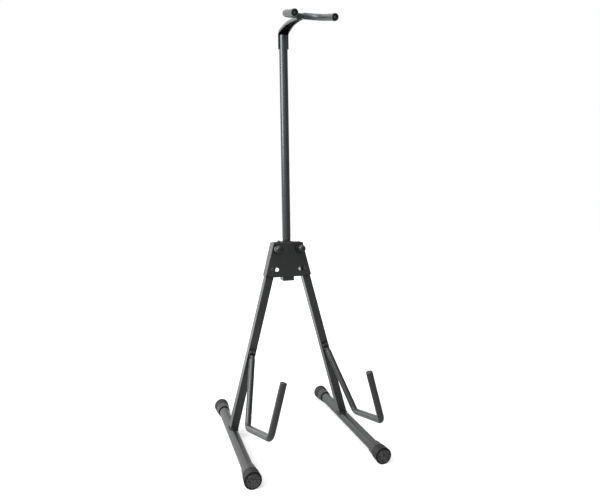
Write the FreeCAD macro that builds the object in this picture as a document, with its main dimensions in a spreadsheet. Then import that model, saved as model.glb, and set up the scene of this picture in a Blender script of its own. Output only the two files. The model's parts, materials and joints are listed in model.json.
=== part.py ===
import FreeCAD, Part
import math
import os
import Sketcher
from FreeCAD import Placement, Rotation, Vector

# Folding guitar stand: hinge head, two splayed legs with hooks, a post and a padded neck yoke.
# The origin lies on the floor under the post, +Z is up and the guitar stands on the -Y side.

doc = FreeCAD.newDocument("guitar_stand")
dims = doc.addObject("Spreadsheet::Sheet", "Dims")

# Driving sizes, in millimetres and degrees
sizes = {
    # legs
    "leg_splay_angle": 14.73,
    "leg_length": 454.7,
    "leg_width": 19.0,
    "leg_depth": 23.0,
    "leg_wall": 1.5,
    "leg_corner": 1.4,
    # foot bars and their caps
    "bar_dia": 25.0,
    "bar_wall": 1.5,
    "foot_front": 227.7,
    "foot_rear": 168.8,
    "cap_length": 45.5,
    "cap_end_dia": 37.0,
    "cap_mid_dia": 34.6,
    "cap_mid_at": 24.0,
    "cap_step": 1.1,
    "cap_lip_dia": 30.0,
    "cap_end_wall": 8.0,
    "cap_tread": 5.0,
    "cap_edge_round": 4.0,
    "cap_rim": 6.5,
    "cap_dish_depth": 1.0,
    "cap_mouth_gap": 1.0,
    "cap_mouth_depth": 6.0,
    "cap_fit_gap": 0.05,
    # hinge head
    "sheet_thick": 1.6,
    "sheet_bend": 1.3,
    "leg_gap": 0.4,
    "pivot_half": 28.5,
    "plate_rise": 14.9,
    "plate_skirt": 67.7,
    "flange_drop": 3.0,
    "rear_drop": 30.0,
    "socket_size": 28.0,
    "socket_wall": 2.0,
    "socket_round": 2.5,
    "socket_drop": 75.1,
    "insert_gap": 0.1,
    "bushing_depth": 46.0,
    "collar_thick": 2.4,
    "collar_round": 1.0,
    "plug_flange": 3.0,
    "plug_spigot": 8.0,
    # pivots
    "bolt_dia": 12.0,
    "bolt_gap": 0.05,
    "bolt_head_flats": 18.0,
    "bolt_head_thick": 7.5,
    "bolt_in_nut": 15.0,
    "hex_corner": 0.3,
    "nut_flats": 17.0,
    "nut_thick": 7.0,
    "nut_dome_dia": 19.0,
    "nut_dome_length": 16.0,
    "nut_dome_round": 9.3,
    "washer_dia": 20.0,
    "washer_thick": 2.0,
    "bush_dia": 15.0,
    "bush_end_gap": 0.1,
    "bush_run_gap": 0.06,
    "spacer_dia": 19.0,
    # guide pins
    "pin_dia": 7.6,
    "pin_reach": 49.5,
    "pin_proud": 0.8,
    "pin_bore": 4.0,
    "pin_head_dia": 11.0,
    "pin_head_thick": 1.6,
    "slot_gap": 0.5,
    # hooks
    "hook_rod_dia": 10.0,
    "hook_sleeve_dia": 14.0,
    "hook_bend": 15.0,
    "hook_prong_at": 268.0,
    "hook_prong_top": 243.0,
    "hook_front_bend": 349.7,
    "hook_rear_at": 112.4,
    "hook_rear_bend": 396.1,
    "hook_start": 258.0,
    "hook_sleeve_start": 10.5,
    "hook_tip_cover": 3.0,
    "paddle_top": 248.0,
    "paddle_length": 12.0,
    "paddle_width": 16.0,
    "paddle_thick": 4.5,
    "paddle_round": 3.5,
    "paddle_neck": 9.0,
    "neck_inset": 0.3,
    "rivet_dia": 4.0,
    "rivet_head_dia": 6.4,
    "rivet_head_thick": 1.4,
    "rivet_half": 4.0,
    "rivet_at": 254.0,
    # post
    "post_dia": 20.0,
    "post_wall": 1.5,
    "post_length": 563.5,
    "post_run_gap": 0.08,
    "post_plug_flange": 3.0,
    "post_plug_spigot": 14.0,
    "post_rest_gap": 0.05,
    # clamp screw
    "clamp_dia": 8.0,
    "clamp_gap": 0.06,
    "clamp_nut_flats": 13.0,
    "clamp_nut_thick": 7.0,
    "clamp_reach": 20.0,
    "grip_hub_dia": 17.0,
    "grip_length": 14.0,
    "grip_span": 19.0,
    "grip_wing": 8.5,
    "grip_turn_angle": 122.0,
    "grip_round": 1.5,
    # neck bracket and yoke
    "strap_thick": 2.2,
    "strap_gap": 0.3,
    "strap_tail": 29.5,
    "strap_bend": 19.0,
    "strap_level": 18.0,
    "strap_droop_angle": 25.2,
    "strap_crest_width": 24.2,
    "strap_end_width": 13.0,
    "strap_wrap_angle": 100.0,
    "strap_seat_wrap_angle": 22.0,
    "strap_above": 0.3,
    "strap_over": 3.0,
    "strap_rivet_low": 20.0,
    "strap_rivet_high": 9.0,
    "yoke_rod_dia": 10.0,
    "yoke_sleeve_dia": 13.0,
    "yoke_reach": 126.3,
    "yoke_radius": 41.4,
    "yoke_arm": 58.9,
    "yoke_droop_angle": 18.8,
    "yoke_bare_angle": 9.5,
    "yoke_cap_dia": 14.6,
    "yoke_cap_length": 10.0,
    "yoke_cap_wall": 5.0,
    "yoke_cap_round": 1.4,
    "yoke_cap_dish": 8.0,
    "yoke_cap_dish_depth": 1.2,
}
for row, (name, number) in enumerate(sizes.items(), 1):
    dims.set("A%d" % row, name)
    dims.set("B%d" % row, str(number))
    dims.setAlias("B%d" % row, name)
doc.recompute()


# Small helpers for sketches and features
def value(expression):
    return float(dims.evalExpression(str(expression)))


def near(one, other):
    return abs(one - other) < 0.01


def origin_plane(body, role):
    return next(item for item in body.Origin.OriginFeatures if item.Role == role)


def new_body(label):
    body = doc.addObject("PartDesign::Body", label)
    body.Label = label
    return body


def new_sketch(body, name, role, offset="0"):
    sketch = body.newObject("Sketcher::SketchObject", name)
    sketch.AttachmentSupport = [(origin_plane(body, role), "")]
    sketch.MapMode = "FlatFace"
    sketch.setExpression("AttachmentOffset.Base.z", offset)
    return sketch


def bind(sketch, kind, geometry, expression):
    index = sketch.addConstraint(Sketcher.Constraint(kind, *geometry, value(expression)))
    sketch.setExpression("Constraints[%d]" % index, expression)


def pin_point(sketch, geo, pos, x, y):
    if x == "0":
        sketch.addConstraint(Sketcher.Constraint("PointOnObject", geo, pos, -2))
    else:
        bind(sketch, "DistanceX", (-1, 1, geo, pos), x)
    if y == "0":
        sketch.addConstraint(Sketcher.Constraint("PointOnObject", geo, pos, -1))
    else:
        bind(sketch, "DistanceY", (-1, 1, geo, pos), y)


def polygon(sketch, points):
    corners = [Vector(value(x), value(y), 0) for x, y in points]
    count = len(points)
    lines = []
    for i in range(count):
        lines.append(sketch.addGeometry(Part.LineSegment(corners[i], corners[(i + 1) % count])))
    for i in range(count):
        sketch.addConstraint(Sketcher.Constraint("Coincident", lines[i], 2, lines[(i + 1) % count], 1))
    for i, (x, y) in enumerate(points):
        pin_point(sketch, lines[i], 1, x, y)


def circle(sketch, x, y, diameter):
    centre = Vector(value(x), value(y), 0)
    geo = sketch.addGeometry(Part.Circle(centre, Vector(0, 0, 1), value(diameter) / 2))
    pin_point(sketch, geo, 3, x, y)
    bind(sketch, "Radius", (geo,), "(%s) / 2" % diameter)


def rectangle(sketch, half_x, half_y):
    polygon(sketch, [("-(%s)" % half_x, "-(%s)" % half_y), (half_x, "-(%s)" % half_y),
                     (half_x, half_y), ("-(%s)" % half_x, half_y)])


def hexagon(sketch, flats):
    corner = "(%s) / sqrt(3)" % flats
    polygon(sketch, [("%s * cos(%d)" % (corner, 30 + 60 * k), "%s * sin(%d)" % (corner, 30 + 60 * k))
                     for k in range(6)])


def add_arc(sketch, start, middle, end):
    curve = Part.Circle(start, middle, end)
    first, halfway, last = [math.atan2((point - curve.Center).y, (point - curve.Center).x)
                            for point in (start, middle, end)]
    if (halfway - first) % (2 * math.pi) > (last - first) % (2 * math.pi):
        first, last = last, first
    whole = Part.Circle(curve.Center, Vector(0, 0, 1), curve.Radius)
    return sketch.addGeometry(Part.ArcOfCircle(whole, first, first + (last - first) % (2 * math.pi)))


def near_end(sketch, geo, point):
    curve = sketch.Geometry[geo]
    return 1 if (curve.StartPoint - point).Length < (curve.EndPoint - point).Length else 2


def slot(sketch, ends, width):
    first = Vector(value(ends[0][0]), value(ends[0][1]), 0)
    last = Vector(value(ends[1][0]), value(ends[1][1]), 0)
    radius = value(width) / 2
    along = (last - first).normalize()
    side = Vector(-along.y, along.x, 0) * radius
    upper = sketch.addGeometry(Part.LineSegment(first + side, last + side))
    lower = sketch.addGeometry(Part.LineSegment(last - side, first - side))
    head = add_arc(sketch, last + side, last + along * radius, last - side)
    tail = add_arc(sketch, first - side, first - along * radius, first + side)
    joins = [(line, end, arc, near_end(sketch, arc, point))
             for line, end, arc, point in ((upper, 2, head, last + side), (lower, 1, head, last - side),
                                           (lower, 2, tail, first - side), (upper, 1, tail, first + side))]
    for join in joins:
        sketch.addConstraint(Sketcher.Constraint("Tangent", *join))
    pin_point(sketch, tail, 3, *ends[0])
    pin_point(sketch, head, 3, *ends[1])
    bind(sketch, "Radius", (head,), "(%s) / 2" % width)
    sketch.addConstraint(Sketcher.Constraint("Equal", head, tail))


def rounded_path(sketch, points, radius):
    corners = [Vector(value(x), value(y), 0) for x, y in points]
    bend = value(radius)
    start = corners[0]
    lines = []
    arcs = []
    for before, corner, after in zip(corners, corners[1:], corners[2:]):
        back = (before - corner).normalize()
        onward = (after - corner).normalize()
        half = back.getAngle(onward) / 2
        middle = (back + onward).normalize()
        enter = corner + back * (bend / math.tan(half))
        leave = corner + onward * (bend / math.tan(half))
        centre = corner + middle * (bend / math.sin(half))
        lines.append(sketch.addGeometry(Part.LineSegment(start, enter)))
        arcs.append(add_arc(sketch, enter, centre - middle * bend, leave))
        start = leave
    lines.append(sketch.addGeometry(Part.LineSegment(start, corners[-1])))
    enters = [near_end(sketch, arc, sketch.Geometry[lines[i]].EndPoint) for i, arc in enumerate(arcs)]
    for i, (arc, enter) in enumerate(zip(arcs, enters)):
        sketch.addConstraint(Sketcher.Constraint("Tangent", lines[i], 2, arc, enter))
        sketch.addConstraint(Sketcher.Constraint("Tangent", arc, 3 - enter, lines[i + 1], 1))
        bind(sketch, "Radius", (arc,), radius)
        mark = sketch.addGeometry(Part.Point(corners[i + 1]), True)
        sketch.addConstraint(Sketcher.Constraint("PointOnObject", mark, 1, lines[i]))
        sketch.addConstraint(Sketcher.Constraint("PointOnObject", mark, 1, lines[i + 1]))
        pin_point(sketch, mark, 1, *points[i + 1])
    pin_point(sketch, lines[0], 1, *points[0])
    pin_point(sketch, lines[-1], 2, *points[-1])


def pad(body, sketch, length, reverse=False, middle=False):
    feature = body.newObject("PartDesign::Pad", "Pad")
    feature.Profile = sketch
    feature.setExpression("Length", length)
    feature.Reversed = reverse
    if middle:
        feature.SideType = "Symmetric"
    sketch.Visibility = False
    return feature


def pocket(body, sketch, length="", reverse=False, middle=False):
    feature = body.newObject("PartDesign::Pocket", "Pocket")
    feature.Profile = sketch
    feature.Reversed = reverse
    if middle:
        feature.SideType = "Symmetric"
    if length:
        feature.setExpression("Length", length)
    else:
        feature.Type = "ThroughAll"
    sketch.Visibility = False
    return feature


def pipe(body, profile, path, cut=False):
    doc.recompute()
    kind = "PartDesign::SubtractivePipe" if cut else "PartDesign::AdditivePipe"
    feature = body.newObject(kind, "Pipe")
    feature.Profile = profile
    feature.Spine = (path, ["Edge%d" % (i + 1) for i in range(len(path.Shape.Edges))])
    return feature


def revolve(body, sketch, axis):
    feature = body.newObject("PartDesign::Revolution", "Revolution")
    feature.Profile = sketch
    feature.ReferenceAxis = (sketch, [axis])
    feature.Angle = 360.0
    sketch.Visibility = False
    return feature


def hex_corners(body, name, face, inward, flats):
    sketch = new_sketch(body, name, "YZ_Plane")
    start = "(%s) / 2 - Dims.hex_corner" % flats
    clear = "(%s) / sqrt(3) + Dims.hex_corner" % flats
    polygon(sketch, [(face, start), (face, clear),
                     ("%s + %d * ((%s) - (%s)) * tan(30)" % (face, inward, clear, start), clear)])
    feature = body.newObject("PartDesign::Groove", "Groove")
    feature.Profile = sketch
    feature.ReferenceAxis = (sketch, ["H_Axis"])
    feature.Angle = 360.0
    sketch.Visibility = False
    return feature


def round_edges(body, base, radius, wanted):
    doc.recompute()
    names = ["Edge%d" % (i + 1) for i, edge in enumerate(base.Shape.Edges) if wanted(edge)]
    feature = body.newObject("PartDesign::Fillet", "Fillet")
    feature.Base = (base, names)
    feature.setExpression("Radius", radius)
    return feature


def place(item, x="0", y="0", z="0", turn=None, angle=None):
    if turn is not None:
        item.Placement = Placement(Vector(0, 0, 0), Rotation(turn, value(angle)))
        item.setExpression("Placement.Rotation.Angle", angle)
    for letter, expression in (("x", x), ("y", y), ("z", z)):
        item.setExpression("Placement.Base." + letter, expression)


def ring(label, outer, inner, thick, x="0", y="0", z="0"):
    blank = doc.addObject("Part::Cylinder", label + "_blank")
    blank.setExpression("Radius", "(%s) / 2" % outer)
    blank.setExpression("Height", thick)
    bore = doc.addObject("Part::Cylinder", label + "_bore")
    bore.setExpression("Radius", "(%s) / 2" % inner)
    bore.setExpression("Height", thick)
    cut = doc.addObject("Part::Cut", label)
    cut.Base = blank
    cut.Tool = bore
    place(cut, x, y, z, Vector(-1, 0, 0), "90")
    return cut


def group(label, items):
    compound = doc.addObject("Part::Compound", label)
    compound.Label = label
    compound.Links = items
    return compound


pieces = []

# Shared positions: the pivots, the faces of the hinge plates and lines along a leg
pivot_z = "(Dims.cap_end_dia / 2 + Dims.leg_length * cos(Dims.leg_splay_angle))"
foot_x = "(Dims.pivot_half + Dims.leg_length * sin(Dims.leg_splay_angle))"
inner_face = "(Dims.socket_size / 2)"
outer_face = "(Dims.socket_size / 2 + Dims.sheet_thick)"
washer_face = "(Dims.socket_size / 2 + Dims.sheet_thick + Dims.washer_thick)"
flange_in = "(Dims.leg_width / 2 + Dims.leg_gap)"
flange_out = "(Dims.leg_width / 2 + Dims.leg_gap + Dims.sheet_thick)"
clamp_hole = "(Dims.clamp_dia + 2 * Dims.clamp_gap)"
bolt_hole = "(Dims.bolt_dia + 2 * Dims.bolt_gap)"


def leg_point(side, down, across):
    outward = "(%s) * sin(Dims.leg_splay_angle) + (%s) * cos(Dims.leg_splay_angle)" % (down, across)
    x = "%d * (Dims.pivot_half + %s)" % (side, outward)
    z = "(%s) * sin(Dims.leg_splay_angle) - (%s) * cos(Dims.leg_splay_angle)" % (across, down)
    return x, z


def leg_line(side, across, height):
    down = "((%s) * sin(Dims.leg_splay_angle) - (%s)) / cos(Dims.leg_splay_angle)" % (across, height)
    return leg_point(side, down, across)[0], height


# Front hinge plate: trapezoid skin, side flanges along the legs, pivot holes and guide slots
front = new_body("front_hinge_plate")
skin = new_sketch(front, "front_skin", "XZ_Plane", inner_face)
polygon(skin, [leg_line(1, flange_out, "Dims.plate_rise"),
               leg_point(1, "Dims.plate_skirt", flange_out),
               leg_point(1, "Dims.plate_skirt", "-Dims.leg_width / 2"),
               leg_point(-1, "Dims.plate_skirt", "-Dims.leg_width / 2"),
               leg_point(-1, "Dims.plate_skirt", flange_out),
               leg_line(-1, flange_out, "Dims.plate_rise")])
pad(front, skin, "Dims.sheet_thick")
flanges = new_sketch(front, "front_flanges", "XZ_Plane", inner_face)
for side in (1, -1):
    polygon(flanges, [leg_line(side, flange_in, "Dims.plate_rise"),
                      leg_line(side, flange_out, "Dims.plate_rise"),
                      leg_point(side, "Dims.plate_skirt + Dims.flange_drop", flange_out),
                      leg_point(side, "Dims.plate_skirt + Dims.flange_drop", flange_in)])
pad(front, flanges, "Dims.socket_size", reverse=True)
openings = new_sketch(front, "front_openings", "XZ_Plane", outer_face)
for side in (1, -1):
    circle(openings, "%d * Dims.pivot_half" % side, "0", bolt_hole)
    slot(openings, [("%d * Dims.pivot_half" % side, "-Dims.pin_reach"),
                    leg_point(side, "Dims.pin_reach", "0")], "Dims.pin_dia + 2 * Dims.slot_gap")
front_cut = pocket(front, openings, "Dims.sheet_thick")
skin_y = -value(outer_face)
bend_x = value(flange_out)
splay = math.radians(value("Dims.leg_splay_angle"))


def is_flange_bend(edge):
    ends = [vertex.Point for vertex in edge.Vertexes]
    if len(ends) != 2 or not all(near(point.y, skin_y) for point in ends):
        return False
    reach = [abs(point.x) - value("Dims.pivot_half") for point in ends]
    across = [r * math.cos(splay) + point.z * math.sin(splay) for r, point in zip(reach, ends)]
    return all(near(a, bend_x) for a in across)


round_edges(front, front_cut, "Dims.sheet_bend", is_flange_bend)
place(front, z=pivot_z)
pieces.append(front)

# Rear hinge plate: short flat strip across the flanges, behind the pivots
rear = new_body("rear_hinge_plate")
strip = new_sketch(rear, "rear_strip", "XZ_Plane", "-" + inner_face)
polygon(strip, [leg_line(1, flange_out, "Dims.plate_rise"), leg_line(1, flange_out, "-Dims.rear_drop"),
                leg_line(-1, flange_out, "-Dims.rear_drop"), leg_line(-1, flange_out, "Dims.plate_rise")])
pad(rear, strip, "Dims.sheet_thick", reverse=True)
rear_holes = new_sketch(rear, "rear_holes", "XZ_Plane", "-" + inner_face)
for side in (1, -1):
    circle(rear_holes, "%d * Dims.pivot_half" % side, "0", bolt_hole)
circle(rear_holes, "0", "0", clamp_hole)
pocket(rear, rear_holes, "Dims.sheet_thick")
place(rear, z=pivot_z)
pieces.append(rear)

# Post socket: square tube between the plates, open for the clamp screw at the rear
socket = new_body("post_socket")
section = new_sketch(socket, "socket_section", "XY_Plane", "-Dims.socket_drop")
rectangle(section, inner_face, inner_face)
bore_half = "(Dims.socket_size / 2 - Dims.socket_wall)"
rectangle(section, bore_half, bore_half)
socket_tube = pad(socket, section, "Dims.socket_drop + Dims.plate_rise")
half = value(inner_face)
socket_tube = round_edges(socket, socket_tube, "Dims.socket_round",
                          lambda edge: all(near(abs(v.X), half) and near(abs(v.Y), half)
                                           for v in edge.Vertexes)
                          and not near(edge.Vertexes[0].Z, edge.Vertexes[-1].Z))
socket_hole = new_sketch(socket, "socket_clamp_hole", "XZ_Plane")
circle(socket_hole, "0", "0", clamp_hole)
pocket(socket, socket_hole)
place(socket, z=pivot_z)
pieces.append(socket)

# Socket bushing: collar on top of the socket and a square sleeve with the round bore for the post
bushing = new_body("socket_bushing")
insert_half = "(Dims.socket_size / 2 - Dims.socket_wall - Dims.insert_gap)"
sleeve = new_sketch(bushing, "bushing_sleeve", "XY_Plane", "Dims.plate_rise - Dims.bushing_depth")
rectangle(sleeve, insert_half, insert_half)
pad(bushing, sleeve, "Dims.bushing_depth")
collar = new_sketch(bushing, "bushing_collar", "XY_Plane", "Dims.plate_rise")
rectangle(collar, inner_face, inner_face)
pad(bushing, collar, "Dims.collar_thick")
bore = new_sketch(bushing, "bushing_bore", "XY_Plane", "Dims.plate_rise + Dims.collar_thick")
circle(bore, "0", "0", "Dims.post_dia + 2 * Dims.post_run_gap")
pocket(bushing, bore)
bushing_hole = new_sketch(bushing, "bushing_clamp_hole", "XZ_Plane")
circle(bushing_hole, "0", "0", clamp_hole)
bushing_cut = pocket(bushing, bushing_hole)
collar_top = value("Dims.plate_rise + Dims.collar_thick")
round_edges(bushing, bushing_cut, "Dims.collar_round",
            lambda edge: len(edge.Vertexes) == 2 and all(near(v.Z, collar_top) for v in edge.Vertexes))
place(bushing, z=pivot_z)
pieces.append(bushing)

# Socket end plug: square plug that closes the socket and carries the post
end_plug = new_body("socket_end_plug")
flange = new_sketch(end_plug, "plug_flange", "XY_Plane", "-Dims.socket_drop")
rectangle(flange, inner_face, inner_face)
pad(end_plug, flange, "Dims.plug_flange", reverse=True)
spigot = new_sketch(end_plug, "plug_spigot", "XY_Plane", "-Dims.socket_drop")
rectangle(spigot, insert_half, insert_half)
plug_pad = pad(end_plug, spigot, "Dims.plug_spigot")
plug_foot = value("-Dims.socket_drop - Dims.plug_flange")
round_edges(end_plug, plug_pad, "Dims.collar_round",
            lambda edge: all(near(v.Z, plug_foot) for v in edge.Vertexes))
place(end_plug, z=pivot_z)
pieces.append(end_plug)

# Pivot bolts from the rear, domed cap nuts on the front, washers under both
washers = []
for side, word in ((-1, "left"), (1, "right")):
    pivot_x = "%d * Dims.pivot_half" % side
    bolt = new_body(word + "_pivot_bolt")
    head = new_sketch(bolt, word + "_bolt_head", "XZ_Plane", "-" + washer_face)
    hexagon(head, "Dims.bolt_head_flats")
    pad(bolt, head, "Dims.bolt_head_thick", reverse=True)
    head_face = washer_face + " + Dims.bolt_head_thick"
    hex_corners(bolt, word + "_bolt_corners", head_face, -1, "Dims.bolt_head_flats")
    shank = new_sketch(bolt, word + "_bolt_shank", "XZ_Plane", "-" + washer_face)
    circle(shank, "0", "0", "Dims.bolt_dia")
    pad(bolt, shank, "2 * %s + Dims.bolt_in_nut" % washer_face)
    place(bolt, x=pivot_x, z=pivot_z)
    pieces.append(bolt)

    nut = new_body(word + "_cap_nut")
    base = new_sketch(nut, word + "_nut_base", "XZ_Plane", washer_face)
    hexagon(base, "Dims.nut_flats")
    pad(nut, base, "Dims.nut_thick")
    hex_corners(nut, word + "_nut_corners", "-(%s + Dims.nut_thick)" % washer_face, 1, "Dims.nut_flats")
    dome = new_sketch(nut, word + "_nut_dome", "XZ_Plane", washer_face + " + Dims.nut_thick")
    circle(dome, "0", "0", "Dims.nut_dome_dia")
    pad(nut, dome, "Dims.nut_dome_length")
    thread = new_sketch(nut, word + "_nut_thread", "XZ_Plane", washer_face)
    circle(thread, "0", "0", bolt_hole)
    thread_cut = pocket(nut, thread, "Dims.bolt_in_nut + Dims.bolt_gap", reverse=True)
    crown = -value(washer_face + " + Dims.nut_thick + Dims.nut_dome_length")
    round_edges(nut, thread_cut, "Dims.nut_dome_round",
                lambda edge: all(near(v.Y, crown) for v in edge.Vertexes))
    place(nut, x=pivot_x, z=pivot_z)
    pieces.append(nut)

    for end, start_face in (("front", "-" + washer_face), ("rear", outer_face)):
        washers.append(ring("%s_%s_washer" % (word, end), "Dims.washer_dia", bolt_hole, "Dims.washer_thick",
                            pivot_x, start_face, pivot_z))
pieces.append(group("pivot_washers", washers))

# Clamp nut on the rear plate
clamp_nut = new_body("clamp_nut")
nut_blank = new_sketch(clamp_nut, "clamp_nut_blank", "XZ_Plane", "-" + outer_face)
hexagon(nut_blank, "Dims.clamp_nut_flats")
circle(nut_blank, "0", "0", clamp_hole)
pad(clamp_nut, nut_blank, "Dims.clamp_nut_thick", reverse=True)
place(clamp_nut, z=pivot_z)
pieces.append(clamp_nut)

# Clamp screw and its moulded wing grip, turned as one
tip_y = "(Dims.post_dia / 2 + Dims.post_run_gap)"
screw = new_body("clamp_screw")
screw_section = new_sketch(screw, "clamp_screw_section", "XZ_Plane", "-" + tip_y)
circle(screw_section, "0", "0", "Dims.clamp_dia")
hub_y = "(%s + Dims.clamp_nut_thick + Dims.clamp_reach - Dims.grip_length / 2)" % outer_face
pad(screw, screw_section, "%s + Dims.grip_length / 2 - %s" % (hub_y, tip_y), reverse=True)
place(screw, z=pivot_z)
pieces.append(screw)

grip = new_body("clamp_grip")
hub = new_sketch(grip, "grip_hub", "XZ_Plane", "-" + hub_y)
circle(hub, "0", "0", "Dims.grip_hub_dia")
pad(grip, hub, "Dims.grip_length", reverse=True)
wing = new_sketch(grip, "grip_wings", "XZ_Plane", "-" + hub_y)
wing_end = "Dims.grip_span - Dims.grip_wing / 2"
slot(wing, [("-(%s)" % wing_end, "0"), (wing_end, "0")], "Dims.grip_wing")
pad(grip, wing, "Dims.grip_length", reverse=True)
grip_bore = new_sketch(grip, "grip_bore", "XZ_Plane", "-" + hub_y)
circle(grip_bore, "0", "0", clamp_hole)
grip_cut = pocket(grip, grip_bore, "Dims.grip_length / 2")
grip_back = value(hub_y + " + Dims.grip_length")
round_edges(grip, grip_cut, "Dims.grip_round",
            lambda edge: all(near(v.Y, grip_back) for v in edge.Vertexes))
place(grip, z=pivot_z, turn=Vector(0, -1, 0), angle="Dims.grip_turn_angle")
pieces.append(grip)

# Legs: every piece is drawn about the pivot with the leg pointing straight down, then splayed
hook_slope = ("atan2(Dims.hook_rear_at - Dims.leg_depth / 2 - Dims.hook_rod_dia / 2; "
              "Dims.hook_rear_bend - Dims.hook_start)")
rod_y = "(Dims.leg_depth / 2 + Dims.hook_rod_dia / 2)"


def along_hook(distance):
    y = "-(%s + (%s) * sin(%s))" % (rod_y, distance, hook_slope)
    z = "-(Dims.hook_start + (%s) * cos(%s))" % (distance, hook_slope)
    return y, z


def splayed(item, side):
    place(item, x="%d * Dims.pivot_half" % side, z=pivot_z,
          turn=Vector(0, -side, 0), angle="Dims.leg_splay_angle")
    pieces.append(item)


def leg_outline(sketch):
    half_width = value("Dims.leg_width / 2")
    length = value("Dims.leg_length")
    right = sketch.addGeometry(Part.LineSegment(Vector(half_width, -length, 0), Vector(half_width, 0, 0)))
    top = add_arc(sketch, Vector(half_width, 0, 0), Vector(0, half_width, 0), Vector(-half_width, 0, 0))
    left = sketch.addGeometry(Part.LineSegment(Vector(-half_width, 0, 0), Vector(-half_width, -length, 0)))
    foot = sketch.addGeometry(Part.LineSegment(Vector(-half_width, -length, 0),
                                               Vector(half_width, -length, 0)))
    sketch.addConstraint(Sketcher.Constraint("Tangent", right, 2, top, 1))
    sketch.addConstraint(Sketcher.Constraint("Tangent", top, 2, left, 1))
    sketch.addConstraint(Sketcher.Constraint("Coincident", left, 2, foot, 1))
    sketch.addConstraint(Sketcher.Constraint("Coincident", foot, 2, right, 1))
    sketch.addConstraint(Sketcher.Constraint("Coincident", top, 3, -1, 1))
    sketch.addConstraint(Sketcher.Constraint("Vertical", right))
    sketch.addConstraint(Sketcher.Constraint("Vertical", left))
    sketch.addConstraint(Sketcher.Constraint("Horizontal", foot))
    bind(sketch, "Radius", (top,), "Dims.leg_width / 2")
    bind(sketch, "DistanceY", (-1, 1, foot, 1), "-Dims.leg_length")


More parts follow.
